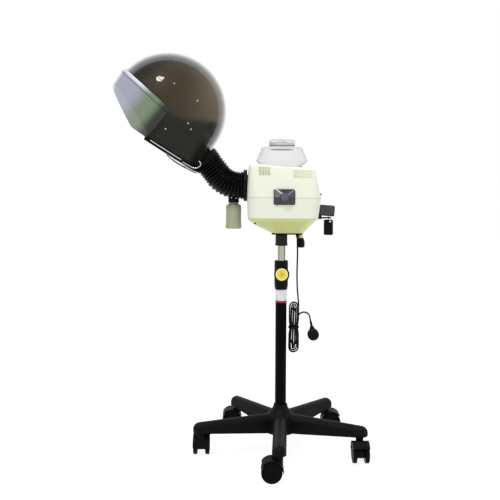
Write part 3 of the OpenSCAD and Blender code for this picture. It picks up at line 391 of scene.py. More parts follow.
HOOD_CENTRE = Vector((-357.0, 0.0, 1061.0)) * MM
HOOD_TURN = Matrix.Rotation(math.radians(33), 4, "Y")
HOOD_FRAME = Matrix.Translation(HOOD_CENTRE) @ HOOD_TURN
CENTRE = (HOOD_CENTRE.x, HOOD_CENTRE.y, HOOD_CENTRE.z)
DISC_CENTRE = (0.0, 0.0, 0.554)
PLATE_CENTRE = (0.008, 0.0, 0.797)
# Direction along which the visor's painted reflection turns green and then its painted shade turns
# dark.
VISOR_RUN = (0.75, 0.0, -0.66)
# Direction of the painted shade crescent at the upper left of the dome and the bowl.
CROWN_RUN = (-0.6, 0.0, 0.8)


def hood_axis(across: float, up: float) -> Triple:
    """Gives a direction in the hood's side view as a direction in the model's frame."""
    turned = HOOD_TURN @ Vector((across, 0.0, up))
    return (turned.x, turned.y, turned.z)


def facing(color: Rgb, axis: Triple, start: float, end: float) -> Fade:
    """Gives a second colour to the faces that look along an axis."""
    return Fade(color, FadeBy.NORMAL, axis, start, end)


def on_hood(color: Rgb, axis: Triple, start: float, end: float) -> Fade:
    """Gives a second colour that comes in along an axis through the hood's centre."""
    return Fade(color, FadeBy.POSITION, axis, start, end, CENTRE)


BLACK_NYLON = Finish("Black Nylon", "black_nylon", (9, 10, 12), (15, 16, 19), 0.5, Grain.SPARK,
                     specular=0.08, dust=0.03, edge=0.0035)
WHEEL_BLACK = Finish("Wheel Black", "wheel_plastic", (5, 5, 6), (10, 10, 12), 0.34, Grain.SATIN,
                     specular=0.06, edge=0.0012)
BLACK_PAINT = Finish("Black Column Paint", "black_paint", (4, 4, 5), (8, 8, 9), 0.3, Grain.GLOSS,
                     specular=0.04, edge=0.0006)
BLACK_PLASTIC = Finish("Black Moulding", "black_plastic", (7, 7, 8), (13, 13, 15), 0.36,
                       Grain.SATIN, specular=0.1, edge=0.0010)
SOCKET_BLACK = Finish("Socket Black", "black_plastic", (26, 27, 25), (36, 37, 35), 0.5,
                      Grain.SPARK, specular=0.2, edge=0.0008)
NATURAL = Finish("Natural Nylon", "natural_plastic", (226, 224, 190), (214, 210, 172), 0.4,
                 Grain.SATIN, edge=0.0006)
DISC_YELLOW = Finish(
    "Yellow Disc", "yellow_plastic", (226, 205, 70), (214, 190, 60), 0.28, Grain.GLOSS, coat=0.4,
    fades=(
        Fade((206, 176, 40), FadeBy.RADIUS, BACK, 0.010, 0.004, DISC_CENTRE),
        Fade((238, 226, 140), FadeBy.RADIUS, BACK, 0.0135, 0.0155, DISC_CENTRE),
    ))
STEEL = Finish("Bright Steel", "steel", (176, 178, 182), (140, 142, 147), 0.28, Grain.BRUSHED,
               metallic=1.0)
CHROME = Finish("Chrome", "pole_chrome", (214, 216, 218), (190, 193, 196), 0.1, Grain.POLISHED,
                metallic=1.0)
SMOKED_CHROME = Finish("Smoked Chrome", "pole_chrome", (92, 98, 88), (80, 86, 76), 0.2,
                       Grain.POLISHED, metallic=1.0)
# Painted reflection on the chrome pole: olive on faces turned to the left, a light painted
# highlight on faces turned furthest left, and dark painted shade on faces turned to the right.
POLE_CHROME = Finish(
    "Pole Chrome", "pole_chrome", (178, 180, 160), (164, 166, 146), 0.12, Grain.POLISHED,
    metallic=1.0, fades=(
        facing((92, 94, 72), RIGHT, -0.5, -0.62),
        facing((216, 218, 210), RIGHT, -0.7, -0.82),
        facing((44, 44, 40), RIGHT, 0.66, 0.86),
    ))
# Painted shade: faces of the housing that look down turn yellow-green.
CREAM = Finish("Cream Housing", "cream_shell", (228, 231, 214), (222, 225, 206), 0.24, Grain.GLOSS,
               coat=0.2, edge=0.0025, fades=(facing((218, 223, 148), DOWN, 0.22, 0.75),))
VENT_GREEN = Finish("Vent Baffle", "cream_shell", (246, 250, 214), (238, 244, 202), 0.5)
SEAM_GREY = Finish("Seam Shadow", "cream_shell", (176, 178, 164), (160, 162, 148), 0.6)
# Painted light on the control plate: faces that look up, down or right are darker and faces that
# look left are lighter, as lit facets would be. Two narrow painted highlight streaks run along the
# diagonals through its middle, and painted shade darkens its lower part.
SLATE = Finish(
    "Slate Plate", "slate_plastic", (70, 72, 76), (60, 61, 65), 0.2, Grain.GLOSS, specular=0.3,
    coat=0.3, edge=0.0008, fades=(
        facing((40, 40, 45), UP, 0.05, 0.11),
        facing((50, 51, 52), DOWN, 0.05, 0.11),
        facing((68, 64, 86), RIGHT, 0.05, 0.11),
        facing((104, 107, 104), LEFT, 0.05, 0.11),
        Fade((214, 214, 220), FadeBy.PLANE, (0.6, 0.0, 0.8), 0.0022, 0.0010, PLATE_CENTRE),
        Fade((150, 147, 182), FadeBy.PLANE, (-0.6, 0.0, 0.8), 0.0015, 0.0005, PLATE_CENTRE),
        Fade((52, 52, 58), FadeBy.POSITION, DOWN, 0.0015, 0.0035, PLATE_CENTRE),
    ))
# Painted shade: the knob's faces that look down and a little to the right are darker.
SLATE_KNOB = Finish("Slate Knob", "slate_plastic", (84, 84, 98), (72, 72, 84), 0.24, specular=0.3,
                    coat=0.3, edge=0.0008, fades=(
                        facing((46, 46, 50), (0.3, 0.0, -0.95), 0.4, 0.8),))
COPPER = Finish("Heater Sheath", "copper_sheath", (176, 116, 72), (140, 88, 52), 0.3,
                Grain.BRUSHED, metallic=1.0)
SEAL = Finish("Red Seal Rubber", "seal_rubber", (128, 48, 36), (104, 38, 28), 0.6, Grain.RUBBER)
HOSE_RUBBER = Finish("Hose Rubber", "hose_rubber", (4, 4, 5), (9, 9, 10), 0.24, Grain.RUBBER,
                     specular=0.12)
CORD_RUBBER = Finish("Cord Sheath", "cord_rubber", (8, 8, 9), (14, 14, 16), 0.4, Grain.RUBBER,
                     specular=0.1)
GRIP_GREY = Finish("Grip Grey", "grey_plastic", (68, 68, 69), (58, 58, 59), 0.42, Grain.SPARK,
                   specular=0.2, edge=0.0012, fades=(
                       Fade((14, 14, 15), FadeBy.POSITION, DOWN, -0.7365, -0.7355),))
CLEAR = Finish("Clear Jar", "clear_plastic", (220, 222, 223), (212, 214, 216), 0.06,
               Grain.POLISHED, alpha=0.14, rim_alpha=0.75)
# Painted shade: the cap's faces that look down are darker grey.
CLEAR_CAP = Finish("Clear Cap", "clear_plastic", (214, 216, 218), (202, 204, 207), 0.06,
                   Grain.POLISHED, alpha=0.22, rim_alpha=0.85, fades=(
                       facing((120, 122, 124), DOWN, 0.3, 0.9),))
OLIVE = Finish("Olive Cup", "olive_plastic", (158, 160, 134), (146, 148, 122), 0.3, Grain.GLOSS,
               coat=0.2, edge=0.001, fades=(
                   Fade((112, 114, 92), FadeBy.POSITION, UP, 0.745, 0.775),))
# Painted light on the smoke dome: lighter towards its right side, painted shade over its lower
# part, and a near-black painted shade crescent towards its upper left.
SMOKE = Finish(
    "Smoke Dome", "smoke_plastic", (58, 53, 39), (66, 60, 45), 0.07, Grain.GLOSS, specular=0.26,
    alpha=0.44, rim_alpha=0.03, fades=(
        on_hood((112, 102, 86), hood_axis(0.85, 0.53), 0.05, 0.18),
        on_hood((38, 39, 33), DOWN, 0.026, 0.050),
        on_hood((9, 8, 7), CROWN_RUN, 0.085, 0.130),
    ))
# Painted light on the inner bowl: lighter towards its lower right, with painted shade over its
# lower part and towards its upper left.
BROWN = Finish(
    "Brown Bowl", "brown_plastic", (96, 82, 60), (82, 70, 52), 0.35, specular=0.3, fades=(
        on_hood((140, 120, 98), hood_axis(0.95, -0.3), -0.04, 0.10),
        on_hood((48, 46, 38), DOWN, 0.026, 0.052),
        on_hood((22, 20, 16), CROWN_RUN, 0.075, 0.125),
    ))
SKIRT_DARK = Finish("Dark Skirt", "dark_green_plastic", (40, 43, 37), (34, 36, 31), 0.3,
                    Grain.GLOSS, specular=0.2)
# Painted reflection and shade on the visor: its lavender grey is partly the tint and partly
# painted reflection. A narrow painted highlight runs along the raised band, and towards its lower
# right it turns green with painted reflection and then dark with painted shade.
VISOR_TINT_AND_REFLECTION = Finish(
    "Tinted Visor With Painted Reflection", "tinted_plastic", (160, 161, 180), (172, 174, 192), 0.14, Grain.GLOSS,
    specular=0.35, alpha=0.78, rim_alpha=0.12, fades=(
        on_hood((232, 236, 242), hood_axis(0.148, 0.989), -0.006, 0.008),
        on_hood((119, 136, 111), VISOR_RUN, -0.096, -0.038),
        on_hood((48, 53, 44), VISOR_RUN, -0.022, 0.014),
    ))
BAND_WHITE = Finish("White Wrap", "natural_plastic", (226, 228, 228), (212, 214, 214), 0.35,
                    Grain.GLOSS)
BAND_RED = Finish("Red Stripe", "seal_rubber", (150, 26, 48), (130, 22, 40), 0.35, Grain.GLOSS)
# Painted shadow: black for the shade in the groove under the visor's band, under the rail wire and
# in the recesses of the shell screws.
PAINTED_SHADOW_BLACK = Finish("Groove Shadow", "black_plastic", (18, 20, 22), (26, 28, 30), 0.5,
                      specular=0.2)
# Seal rubber rings that also stand for the dark refraction arcs in the clear jar and cap: painted
# dark arcs.
GASKET_AND_PAINTED_REFRACTION = Finish("Gasket With Painted Refraction Arcs", "seal_rubber", (20, 20, 21), (30, 30, 31), 0.5, Grain.RUBBER)


def on_casters(name: str) -> tuple[str, ...]:
    """Names the same node of each of the five casters."""
    return tuple(f"{name}_{i}" for i in range(1, 6))


NODE_FINISHES: dict[Finish, tuple[str, ...]] = {
    BLACK_NYLON: ("star_base", *on_casters("caster_hood")),
    WHEEL_BLACK: on_casters("caster_wheels"),
    STEEL: (*on_casters("caster_stem"), "clamp_screw", "timer_unit", "boiler_tank",
            "elbow_bracket", "hood_arm"),
    BLACK_PAINT: ("column_tube", "mount_plate"),
    BLACK_PLASTIC: ("clamp_collar", "clamp_knob", "hose_collar", "drip_neck", "cord_gland",
                    "mains_plug", "power_button", "drain_cap", "hang_tag", "rim_ring",
                    "hood_neck"),
    SOCKET_BLACK: ("pole_socket",),
    NATURAL: ("pole_bush", "drain_spout"),
    DISC_YELLOW: ("knob_disc",),
    POLE_CHROME: ("pole",),
    CHROME: ("rim_wires",),
    SMOKED_CHROME: ("visor_pivots",),
    CREAM: ("housing_lower", "housing_upper"),
    SLATE: ("control_plate",),
    SLATE_KNOB: ("timer_knob",),
    COPPER: ("heater_element",),
    SEAL: ("tank_seal",),
    HOSE_RUBBER: ("steam_hose",),
    CORD_RUBBER: ("supply_cord", "cord_hank", "hank_tie", "plug_lead"),
    GRIP_GREY: ("side_grip",),
    CLEAR: ("water_jar",),
    CLEAR_CAP: ("jar_cap",),
    OLIVE: ("drip_cup",),
    SMOKE: ("hood_dome",),
    BROWN: ("inner_bowl",),
    SKIRT_DARK: ("hood_skirt",),
    VISOR_TINT_AND_REFLECTION: ("visor",),
}


class Bench:
    """Modelling helpers that drive Blender's own operators, and the finishing of each piece."""

    def __init__(self, groups: EffectGroups) -> None:
        """Keeps the shared effect groups for the finishes."""
        self.groups = groups
        self.made: list[bpy.types.Object] = []

    @staticmethod
    def select(piece: bpy.types.Object) -> None:
        """Makes one object the only selected one and the active one.

        Args:
            piece: The object.
        """
        bpy.ops.object.select_all(action="DESELECT")
        piece.select_set(True)
        bpy.context.view_layer.objects.active = piece

    @staticmethod
    def put(name: str, data: bpy.types.ID) -> bpy.types.Object:
        """Puts an object at the origin of the scene.

        Args:
            name: Name of the object.
            data: Its mesh, curve, camera or lamp.

        Returns:
            The new object.
        """
        piece = bpy.data.objects.new(name, data)
        bpy.context.scene.collection.objects.link(piece)
        return piece

    def box(self, name: str, centre: Triple, size: Triple, lean: float = 0.0) -> bpy.types.Object:
        """Adds a box for the next steps to shape.

        Args:
            name: Name of the piece.
            centre: Its middle, in millimetres.
            size: Its size, in millimetres.
            lean: Its turn about X, in radians.

        Returns:
            The new object, the only one selected.
        """
        bpy.ops.object.select_all(action="DESELECT")
        bpy.ops.mesh.primitive_cube_add(
            size=1.0, location=Vector(centre) * MM, rotation=(lean, 0.0, 0.0),
            scale=(size[0] * MM, size[1] * MM, size[2] * MM))
        piece = bpy.context.view_layer.objects.active
        piece.name = piece.data.name = name
        self.select(piece)
        bpy.ops.object.transform_apply(location=True, rotation=True, scale=True)
        return piece

    def turned(self, name: str, profile: Sequence[Pair], steps: int,
               place: Sequence[float] = ORIGIN, axis: Sequence[float] = UP,
               closed: bool = False) -> bpy.types.Object:
        """Spins a profile round an axis into a turned piece.

        Args:
            name: Name of the piece.
            profile: Radius and height of each point in millimetres, from pole to pole, or a
                closed section.
            steps: Number of sides.
            place: Where the profile's zero height goes, in millimetres.
            axis: Direction of the turning axis.
            closed: True where the profile is a closed section, as of a ring.

        Returns:
            The new object.
        """
        mesh = bpy.data.meshes.new(name)
        links = [(k, k + 1) for k in range(len(profile) - 1)]
        if closed:
            links.append((len(profile) - 1, 0))
        mesh.from_pydata([(r * MM, 0.0, z * MM) for r, z in profile], links, [])
        piece = self.put(name, mesh)
        self.edit_all(piece)
        bpy.ops.mesh.spin(steps=steps, angle=2 * math.pi, center=ORIGIN, axis=UP)
        bpy.ops.mesh.select_all(action="SELECT")
        bpy.ops.mesh.remove_doubles(threshold=1e-6)
        bpy.ops.mesh.normals_make_consistent(inside=False)
        self.leave_edit()
        turn = Vector(axis).to_track_quat("Z", "Y").to_matrix().to_4x4()
        piece.data.transform(Matrix.Translation(Vector(place) * MM) @ turn)
        return piece

    def edit_all(self, piece: bpy.types.Object) -> None:
        """Enters edit mode with the whole mesh selected.

        Args:
            piece: The piece to edit.
        """
        self.select(piece)
        bpy.ops.object.mode_set(mode="EDIT")
        bpy.ops.mesh.select_all(action="SELECT")

    def edit(self, piece: bpy.types.Object, pick: Pick, test: Callable[..., bool]) -> None:
        """Enters edit mode with only those faces or edges selected that pass a test.

        Args:
            piece: The piece to edit.
            pick: Whether faces or edges are picked.
            test: Takes a face or an edge and says whether to pick it.
        """
        self.select(piece)
        bpy.ops.object.mode_set(mode="EDIT")
        bpy.ops.mesh.select_mode(type=pick.value)
        bpy.ops.mesh.select_all(action="DESELECT")
        form = bmesh.from_edit_mesh(piece.data)
        for element in form.faces if pick is Pick.FACES else form.edges:
            element.select_set(test(element))
        bmesh.update_edit_mesh(piece.data)

    @staticmethod
    def leave_edit() -> None:
        """Goes back to object mode."""
        bpy.ops.object.mode_set(mode="OBJECT")

    @staticmethod
    def copy(piece: bpy.types.Object, name: str, matrix: Matrix) -> bpy.types.Object:
        """Copies a piece with its own mesh, moved by a matrix.

        Args:
            piece: The piece to copy.
            name: Name of the copy.
            matrix: Motion without a reflection.

        Returns:
            The copy.
        """
        twin = piece.copy()
        twin.data = piece.data.copy()
        twin.name = twin.data.name = name
        bpy.context.scene.collection.objects.link(twin)
        twin.data.transform(matrix)
        return twin

    def tube(self, name: str, points: Sequence[Vector], radius: float,
             sides: int) -> bpy.types.Object:
        """Makes a round wire along points, as a curve.

        Args:
            name: Name of the piece.
            points: Points of its centre line.
            radius: Radius of the wire.
            sides: Resolution of its section.

        Returns:
            The curve object.
        """
        curve = bpy.data.curves.new(name, "CURVE")
        curve.dimensions = "3D"
        curve.bevel_depth = radius
        curve.bevel_resolution = sides
        curve.use_fill_caps = True
        spline = curve.splines.new("POLY")
        spline.points.add(len(points) - 1)
        for slot, point in zip(spline.points, points):
            slot.co = (*point, 1.0)
        return self.put(name, curve)

    def wire(self, name: str, points: Sequence[Vector], radius: float,
             sides: int = 3) -> bpy.types.Object:
        """Makes a round wire along points, as a mesh.

        Args:
            name: Name of the piece.
            points: Points of its centre line.
            radius: Radius of the wire.
            sides: Resolution of its section.

        Returns:
            The mesh object.
        """
        self.select(self.tube(name, points, radius, sides))
        bpy.ops.object.convert(target="MESH")
        return bpy.context.view_layer.objects.active

    def finish(self, piece: bpy.types.Object, finish: Finish, body: Body | None,
               smooth: float = 40.0) -> None:
        """Gives a piece its material, smooths it and lets it ride on its body.

        Args:
            piece: The piece, in place.
            finish: Its finish.
            body: The body it rides on, or None to leave it on no body.
            smooth: Angle in degrees under which edges are smooth.
        """
        piece.data.materials.clear()
        piece.data.materials.append(finish.build(self.groups))
        if piece.type == "MESH":
            self.select(piece)
            bpy.ops.object.shade_smooth_by_angle(angle=math.radians(smooth))
        if body is not None:
            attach(piece, body.value)
        self.made.append(piece)


def smooth_route(points: Sequence[Vector], step: float) -> list[Vector]:
    """Runs a smooth curve through points.

    Args:
        points: Points that the curve passes through.
        step: Spacing of the new points.

    Returns:
        Points along the curve.
    """
    ends = [points[0] * 2 - points[1], *points, points[-1] * 2 - points[-2]]
    route: list[Vector] = []
    for a, b, c, d in zip(ends, ends[1:], ends[2:], ends[3:]):
        count = max(1, round((c - b).length / step))
        for k in range(count):
            t = k / count
            route.append(0.5 * (2 * b + (c - a) * t + (2 * a - 5 * b + 4 * c - d) * t * t
                                + (3 * b - a - 3 * c + d) * t * t * t))
    route.append(points[-1].copy())
    return route


@dataclass
class Studio:
    """Camera, lamps, white surroundings and the floor that takes the shadow.

    Each lamp has its name, place, power, size and whether glossy faces mirror it.
    """

    lens: float = 54.93
    sensor: float = 36.0
    place: Triple = (-0.100, -2.400, 0.860)
    roll: float = 0.344
    drop: float = 0.1494
    lamps: tuple[tuple[str, Triple, float, float, bool], ...] = (
        ("Key", (-0.82, -1.23, 3.03), 30.0, 0.42, True),
        ("Fill", (1.6, -2.6, 1.4), 22.0, 1.4, False),
        ("Top", (0.2, 0.6, 3.2), 12.0, 1.6, False),
    )
    lamp_aim: Triple = (-0.15, 0.0, 0.75)
    world_light: float = 0.72
    floor_size: float = 60.0
    floor_y: float = 20.0
    floor_paint: float = 0.2
    floor_glow: Pair = (0.5, 0.885)

    def build(self) -> None:
        """Builds the camera first, then lamps, world and floor."""
        self._camera()
        for lamp in self.lamps:
            self._lamp(*lamp)
        self._world()
        self._floor()
        bpy.context.scene.view_settings.view_transform = "Standard"

    def _camera(self) -> None:
        """Sets the level camera where the photograph was taken, its frame shifted down."""
        data = bpy.data.cameras.new("Camera")
        data.lens = self.lens
        data.sensor_width = self.sensor
        data.shift_y = -self.drop
        camera = Bench.put("Camera", data)
        level = Matrix.Rotation(math.radians(90), 4, "X")
        turn = level @ Matrix.Rotation(math.radians(self.roll), 4, "Z")
        camera.matrix_world = Matrix.Translation(Vector(self.place)) @ turn
        bpy.context.scene.camera = camera

    def _lamp(self, name: str, spot: Triple, power: float, size: float, mirrored: bool) -> None:
        """Adds a square soft lamp that looks at the object's middle.

        Args:
            name: Name of the lamp.
            spot: Where it hangs.
            power: Its power in watts.
            size: Length of its side.
            mirrored: Whether glossy faces mirror it.
        """
        data = bpy.data.lights.new(name, "AREA")
        data.energy = power
        data.size = size
        lamp = Bench.put(name, data)
        place = Vector(spot)
        turn = (Vector(self.lamp_aim) - place).to_track_quat("-Z", "Y").to_matrix().to_4x4()
        lamp.matrix_world = Matrix.Translation(place) @ turn
        lamp.visible_glossy = mirrored

    @staticmethod
    def _backdrop(graph: Graph, low: float, high: float) -> bpy.types.NodeSocket:
        """Gives one value to rays that show the white backdrop and another to those that light.

        Args:
            graph: Graph of the world or the floor.
            low: Value for the rays that light the object.
            high: Value for camera, glossy and transmission rays.

        Returns:
            The socket with the value.
        """
        path = graph.add("ShaderNodeLightPath").outputs
        seen = graph.math("MAXIMUM", path["Is Camera Ray"], path["Is Glossy Ray"])
        seen = graph.math("MAXIMUM", seen, path["Is Transmission Ray"])
        return graph.remap(seen, 0.0, 1.0, low, high)

    def _world(self) -> None:
        """Makes white surroundings that light the object at a lower level than they show."""
        world = bpy.data.worlds.new("White Surroundings")
        world.use_nodes = True
        bpy.context.scene.world = world
        graph = Graph(world.node_tree)
        graph.feed(world.node_tree.nodes["Background"], {
            "Color": WHITE, "Strength": self._backdrop(graph, self.world_light, 1.0)})

    def _floor(self) -> None:
        """Lays the floor, white to the camera and shaded only by the object's shadow."""
        bpy.ops.object.select_all(action="DESELECT")
        bpy.ops.mesh.primitive_plane_add(size=self.floor_size, location=(0.0, self.floor_y, 0.0))
        floor = bpy.context.view_layer.objects.active
        floor.name = "Floor"
        bpy.ops.object.transform_apply(location=True, rotation=True, scale=True)
        material = bpy.data.materials.new("White Floor")
        material.use_nodes = True
        graph = Graph(material.node_tree)
        graph.tree.nodes.clear()
        grey = self.floor_paint
        paint = graph.add("ShaderNodeBsdfDiffuse", {"Color": (grey, grey, grey, 1.0)})
        glow = graph.add("ShaderNodeEmission", {
            "Color": WHITE, "Strength": self._backdrop(graph, *self.floor_glow)})
        both = graph.add("ShaderNodeAddShader", {0: paint.outputs[0], 1: glow.outputs[0]})
        graph.add("ShaderNodeOutputMaterial", {"Surface": both.outputs[0]})
        floor.data.materials.append(material)


@dataclass
class Assembly:
    """Base of the sub-assemblies, with the bench that makes their pieces."""

    bench: Bench


@dataclass
class MainsCord(Assembly):
    """The mains cord: supply run, tied hank of loops and the lead that hangs to the plug.

    All sizes are in millimetres.
    """

    diameter: float = 5.0
    hank_x: float = 40.0
    radius: float = 15.0
    top: float = 462.0
    bottom: float = 306.0
    tie_z: float = 384.0
    waist: float = 3.0
    waist_spread: float = 15.0
    turn: float = 14.0
    nest: float = 6.0
    loops: int = 5
    run_steps: int = 6
    bend_steps: int = 7
    spacing: float = 3.5
    lead_in: Triple = (-0.4, 0.2, -7)
    supply: tuple[Triple, ...] = (
        (49, -17, 666), (49, -17, 656), (49.5, -16.5, 640), (50, -15.5, 620), (49.5, -14, 590),
        (49, -12, 560), (49.5, -9.5, 530), (51, -6.5, 500), (53, -3, 480), (54.6, -0.8, 464),
        (55, 0, 456),
    )
    lead: tuple[Triple, ...] = (
        (51, -10.2, 412), (52.2, -10.3, 418.8), (55.7, -10.2, 424.9), (61, -9.7, 429.3),
        (67.5, -8.6, 431.7), (74.5, -6.9, 431.7), (81, -4.7, 429.3), (86.3, -2.5, 424.9),
        (89.3, -1, 420), (91.1, -0.2, 413.5), (92.2, 0, 408), (93.4, 0, 402),
    )

    def _in_bundle(self, reach: float, degrees: float, z: float) -> Triple:
        """Gives a point of the bundle in millimetres."""
        a = math.radians(degrees)
        return (self.hank_x + reach * math.cos(a), reach * math.sin(a), z)

    def _ends(self, k: int) -> Pair:
        """Gives the heights of the fold centres at the foot and at the top of a run."""
        foot = self.bottom + self.radius + self.nest * (k // 2)
        return foot, self.top - self.radius - self.nest * max(0, (k - 1) // 2)

    def _run_point(self, k: int, u: float) -> Triple:
        """Gives a point of a run, drawn in by the tie.

        Args:
            k: Number of the run. Even runs go down, odd ones up.
            u: Share of the run.

        Returns:
            The point in millimetres.
        """
        foot, top = self._ends(k)
        z = foot + (top - foot) * (u if k % 2 else 1 - u)
        pinch = self.waist * math.exp(-(((z - self.tie_z) / self.waist_spread) ** 2))
        return self._in_bundle(self.radius - pinch, 180 * k + self.turn * (k + u), z)

    def _fold_point(self, k: int, u: float) -> Triple:
        """Gives a point of the fold that follows a run.

        Args:
            k: Number of the run.
            u: Share of the fold's half circle.

        Returns:
            The point in millimetres.
        """
        foot, top = self._ends(k)
        lift = self.radius * math.sin(math.pi * u)
        z = top + lift if k % 2 else foot - lift
        reach = self.radius * math.cos(math.pi * u)
        return self._in_bundle(reach, 180 * k + self.turn * (k + 1), z)

    def route(self) -> list[Vector]:
        """Gives the whole route from the gland to the plug.

        Returns:
            Points along the centre line, in metres.
        """
        last = 2 * self.loops - 1
        runs, bends = self.run_steps, self.bend_steps
        points: list[Triple] = list(self.supply)
        for k in range(last):
            points.extend(self._run_point(k, i / runs) for i in range(runs))
            points.extend(self._fold_point(k, i / bends) for i in range(bends))
        points.extend(self._run_point(last, i / runs) for i in range(runs - 1))
        points.append(tuple(a + b for a, b in zip(self.lead[0], self.lead_in)))
        points.extend(self.lead)
        return smooth_route(metres(points), self.spacing * MM)

    def build(self, frame: dict) -> None:
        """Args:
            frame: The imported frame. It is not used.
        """
        path = self.route()
        cord = self.bench.tube("mains_cord", path, self.diameter / 2 * MM, sides=4)
        self.bench.finish(cord, CORD_RUBBER, Body.HEAD)
        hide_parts("supply_cord", "cord_hank", "plug_lead")


@dataclass
class SteamHose(Assembly):
    """The ribbed rubber hose from the housing's collar to the hood's neck.

    Sizes are in millimetres, and the bend is in degrees.
    """

    collar_x: float = -120.8
    height: float = 828.0
    straight: float = 13.0
    bend_r: float = 85.0
    bend: float = 48.0
    outer_r: float = 44.0
    rib_depth: float = 4.5
    bore_r: float = 35.5
    ribs: int = 14
    rib_steps: int = 10
    bore_steps: int = 40
    sides: int = 72
    head_seat: float = 6.0
    hood_seat: float = 4.0
    neck: Pair = (196.0, -68.0)
    neck_ribs: tuple[float, ...] = (4.0, 12.0, 20.0)
    neck_rib_r: float = 2.2
    neck_rib_sink: float = 1.6
    neck_steps: int = 120
    dome_clear: float = 185.6
    last: Vector = field(init=False)

    def __post_init__(self) -> None:
        """Works out where the hose meets the hood's neck, in metres."""
        self.last = HOOD_FRAME @ Vector((self.neck[0] * MM, 0.0, self.neck[1] * MM))

    def _station(self, s: float) -> tuple[Vector, Vector]:
        """Gives a point and a direction on the centre line.

        Args:
            s: Distance from the collar in millimetres.

        Returns:
            The point in metres and the unit direction.
        """
        if s < self.straight:
            return Vector((self.collar_x - s, 0.0, self.height)) * MM, Vector(LEFT)
        bend = math.radians(self.bend)
        a = min(bend, (s - self.straight) / self.bend_r)
        point = Vector((self.collar_x - self.straight - self.bend_r * math.sin(a), 0.0,
                        self.height + self.bend_r * (1 - math.cos(a)))) * MM
        beyond = s - self.straight - self.bend_r * bend
        if beyond < 0:
            return point, Vector((-math.cos(a), 0.0, math.sin(a)))
        along = (self.last - point).normalized()
        return point + along * beyond * MM, along

    def length(self) -> float:
        """Gives the length of the centre line in millimetres."""
        bent = self.straight + self.bend_r * math.radians(self.bend)
        return bent + (self.last - self._station(bent)[0]).length / MM

    def _rib(self, u: float) -> float:
        """Gives the radius over the ribs at a share of one rib's pitch, in millimetres."""
        wave = 0.5 - 0.5 * math.cos(2 * math.pi * u)
        return self.outer_r - self.rib_depth * (1 - wave ** 0.7)

    def build(self) -> None:
        """Builds the hose as one closed skin, shaped along a bent path from the head's collar to
        the hood's neck.
        """
        total = self.length()
        count, bore, sides = self.ribs * self.rib_steps, self.bore_steps, self.sides
        rows = [(total * k / count, self._rib(k / self.rib_steps)) for k in range(count + 1)]
        rows += [(total * k / bore, self.bore_r) for k in range(bore, -1, -1)]
        turns = [2 * math.pi * k / sides for k in range(sides)]
        side = Vector(BACK)
        vertices: list[Vector] = []
        for s, r in rows:
            point, along = self._station(s)
            up = along.cross(side)
            vertices += [point + (side * math.cos(a) + up * math.sin(a)) * r * MM for a in turns]
        faces = []
        for i in range(len(rows)):
            j = (i + 1) % len(rows)
            for k in range(sides):
                m = (k + 1) % sides
                faces.append((i * sides + k, i * sides + m, j * sides + m, j * sides + k))
        mesh = bpy.data.meshes.new("hose_sleeve")
        mesh.from_pydata([tuple(v) for v in vertices], [], faces)
        piece = self.bench.put("hose_sleeve", mesh)
        self.bench.edit_all(piece)
        bpy.ops.mesh.normals_make_consistent(inside=False)
        self.bench.leave_edit()
        self.bench.finish(piece, HOSE_RUBBER, None, smooth=70.0)
        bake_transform(piece)
        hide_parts("steam_hose")
        self._neck_ribs(total)

    def _neck_ribs(self, total: float) -> None:
        """Carries the ribs on over the hood's neck as far as the dome leaves it free.

        Args:
            total: Length of the hose's centre line in millimetres.
        """
        foot, along = self._station(total)
        into_hood = HOOD_FRAME.inverted()
        side = Vector(BACK)
        up = along.cross(side)
        low = up if (into_hood @ (foot + up)).z < 0 else -up
        reach = (self.outer_r - self.neck_rib_sink) * MM
        for index, s in enumerate(self.neck_ribs):
            points = []
            for k in range(self.neck_steps + 1):
                a = 2 * math.pi * k / self.neck_steps
                point = foot + along * s * MM + (low * math.cos(a) + side * math.sin(a)) * reach
                local = into_hood @ point
                if math.hypot(local.x, local.y) > self.dome_clear * MM:
                    points.append(point)
            rib = self.bench.wire(f"neck_rib_{index + 1}", points, self.neck_rib_r * MM)
            self.bench.finish(rib, HOSE_RUBBER, Body.HOOD)


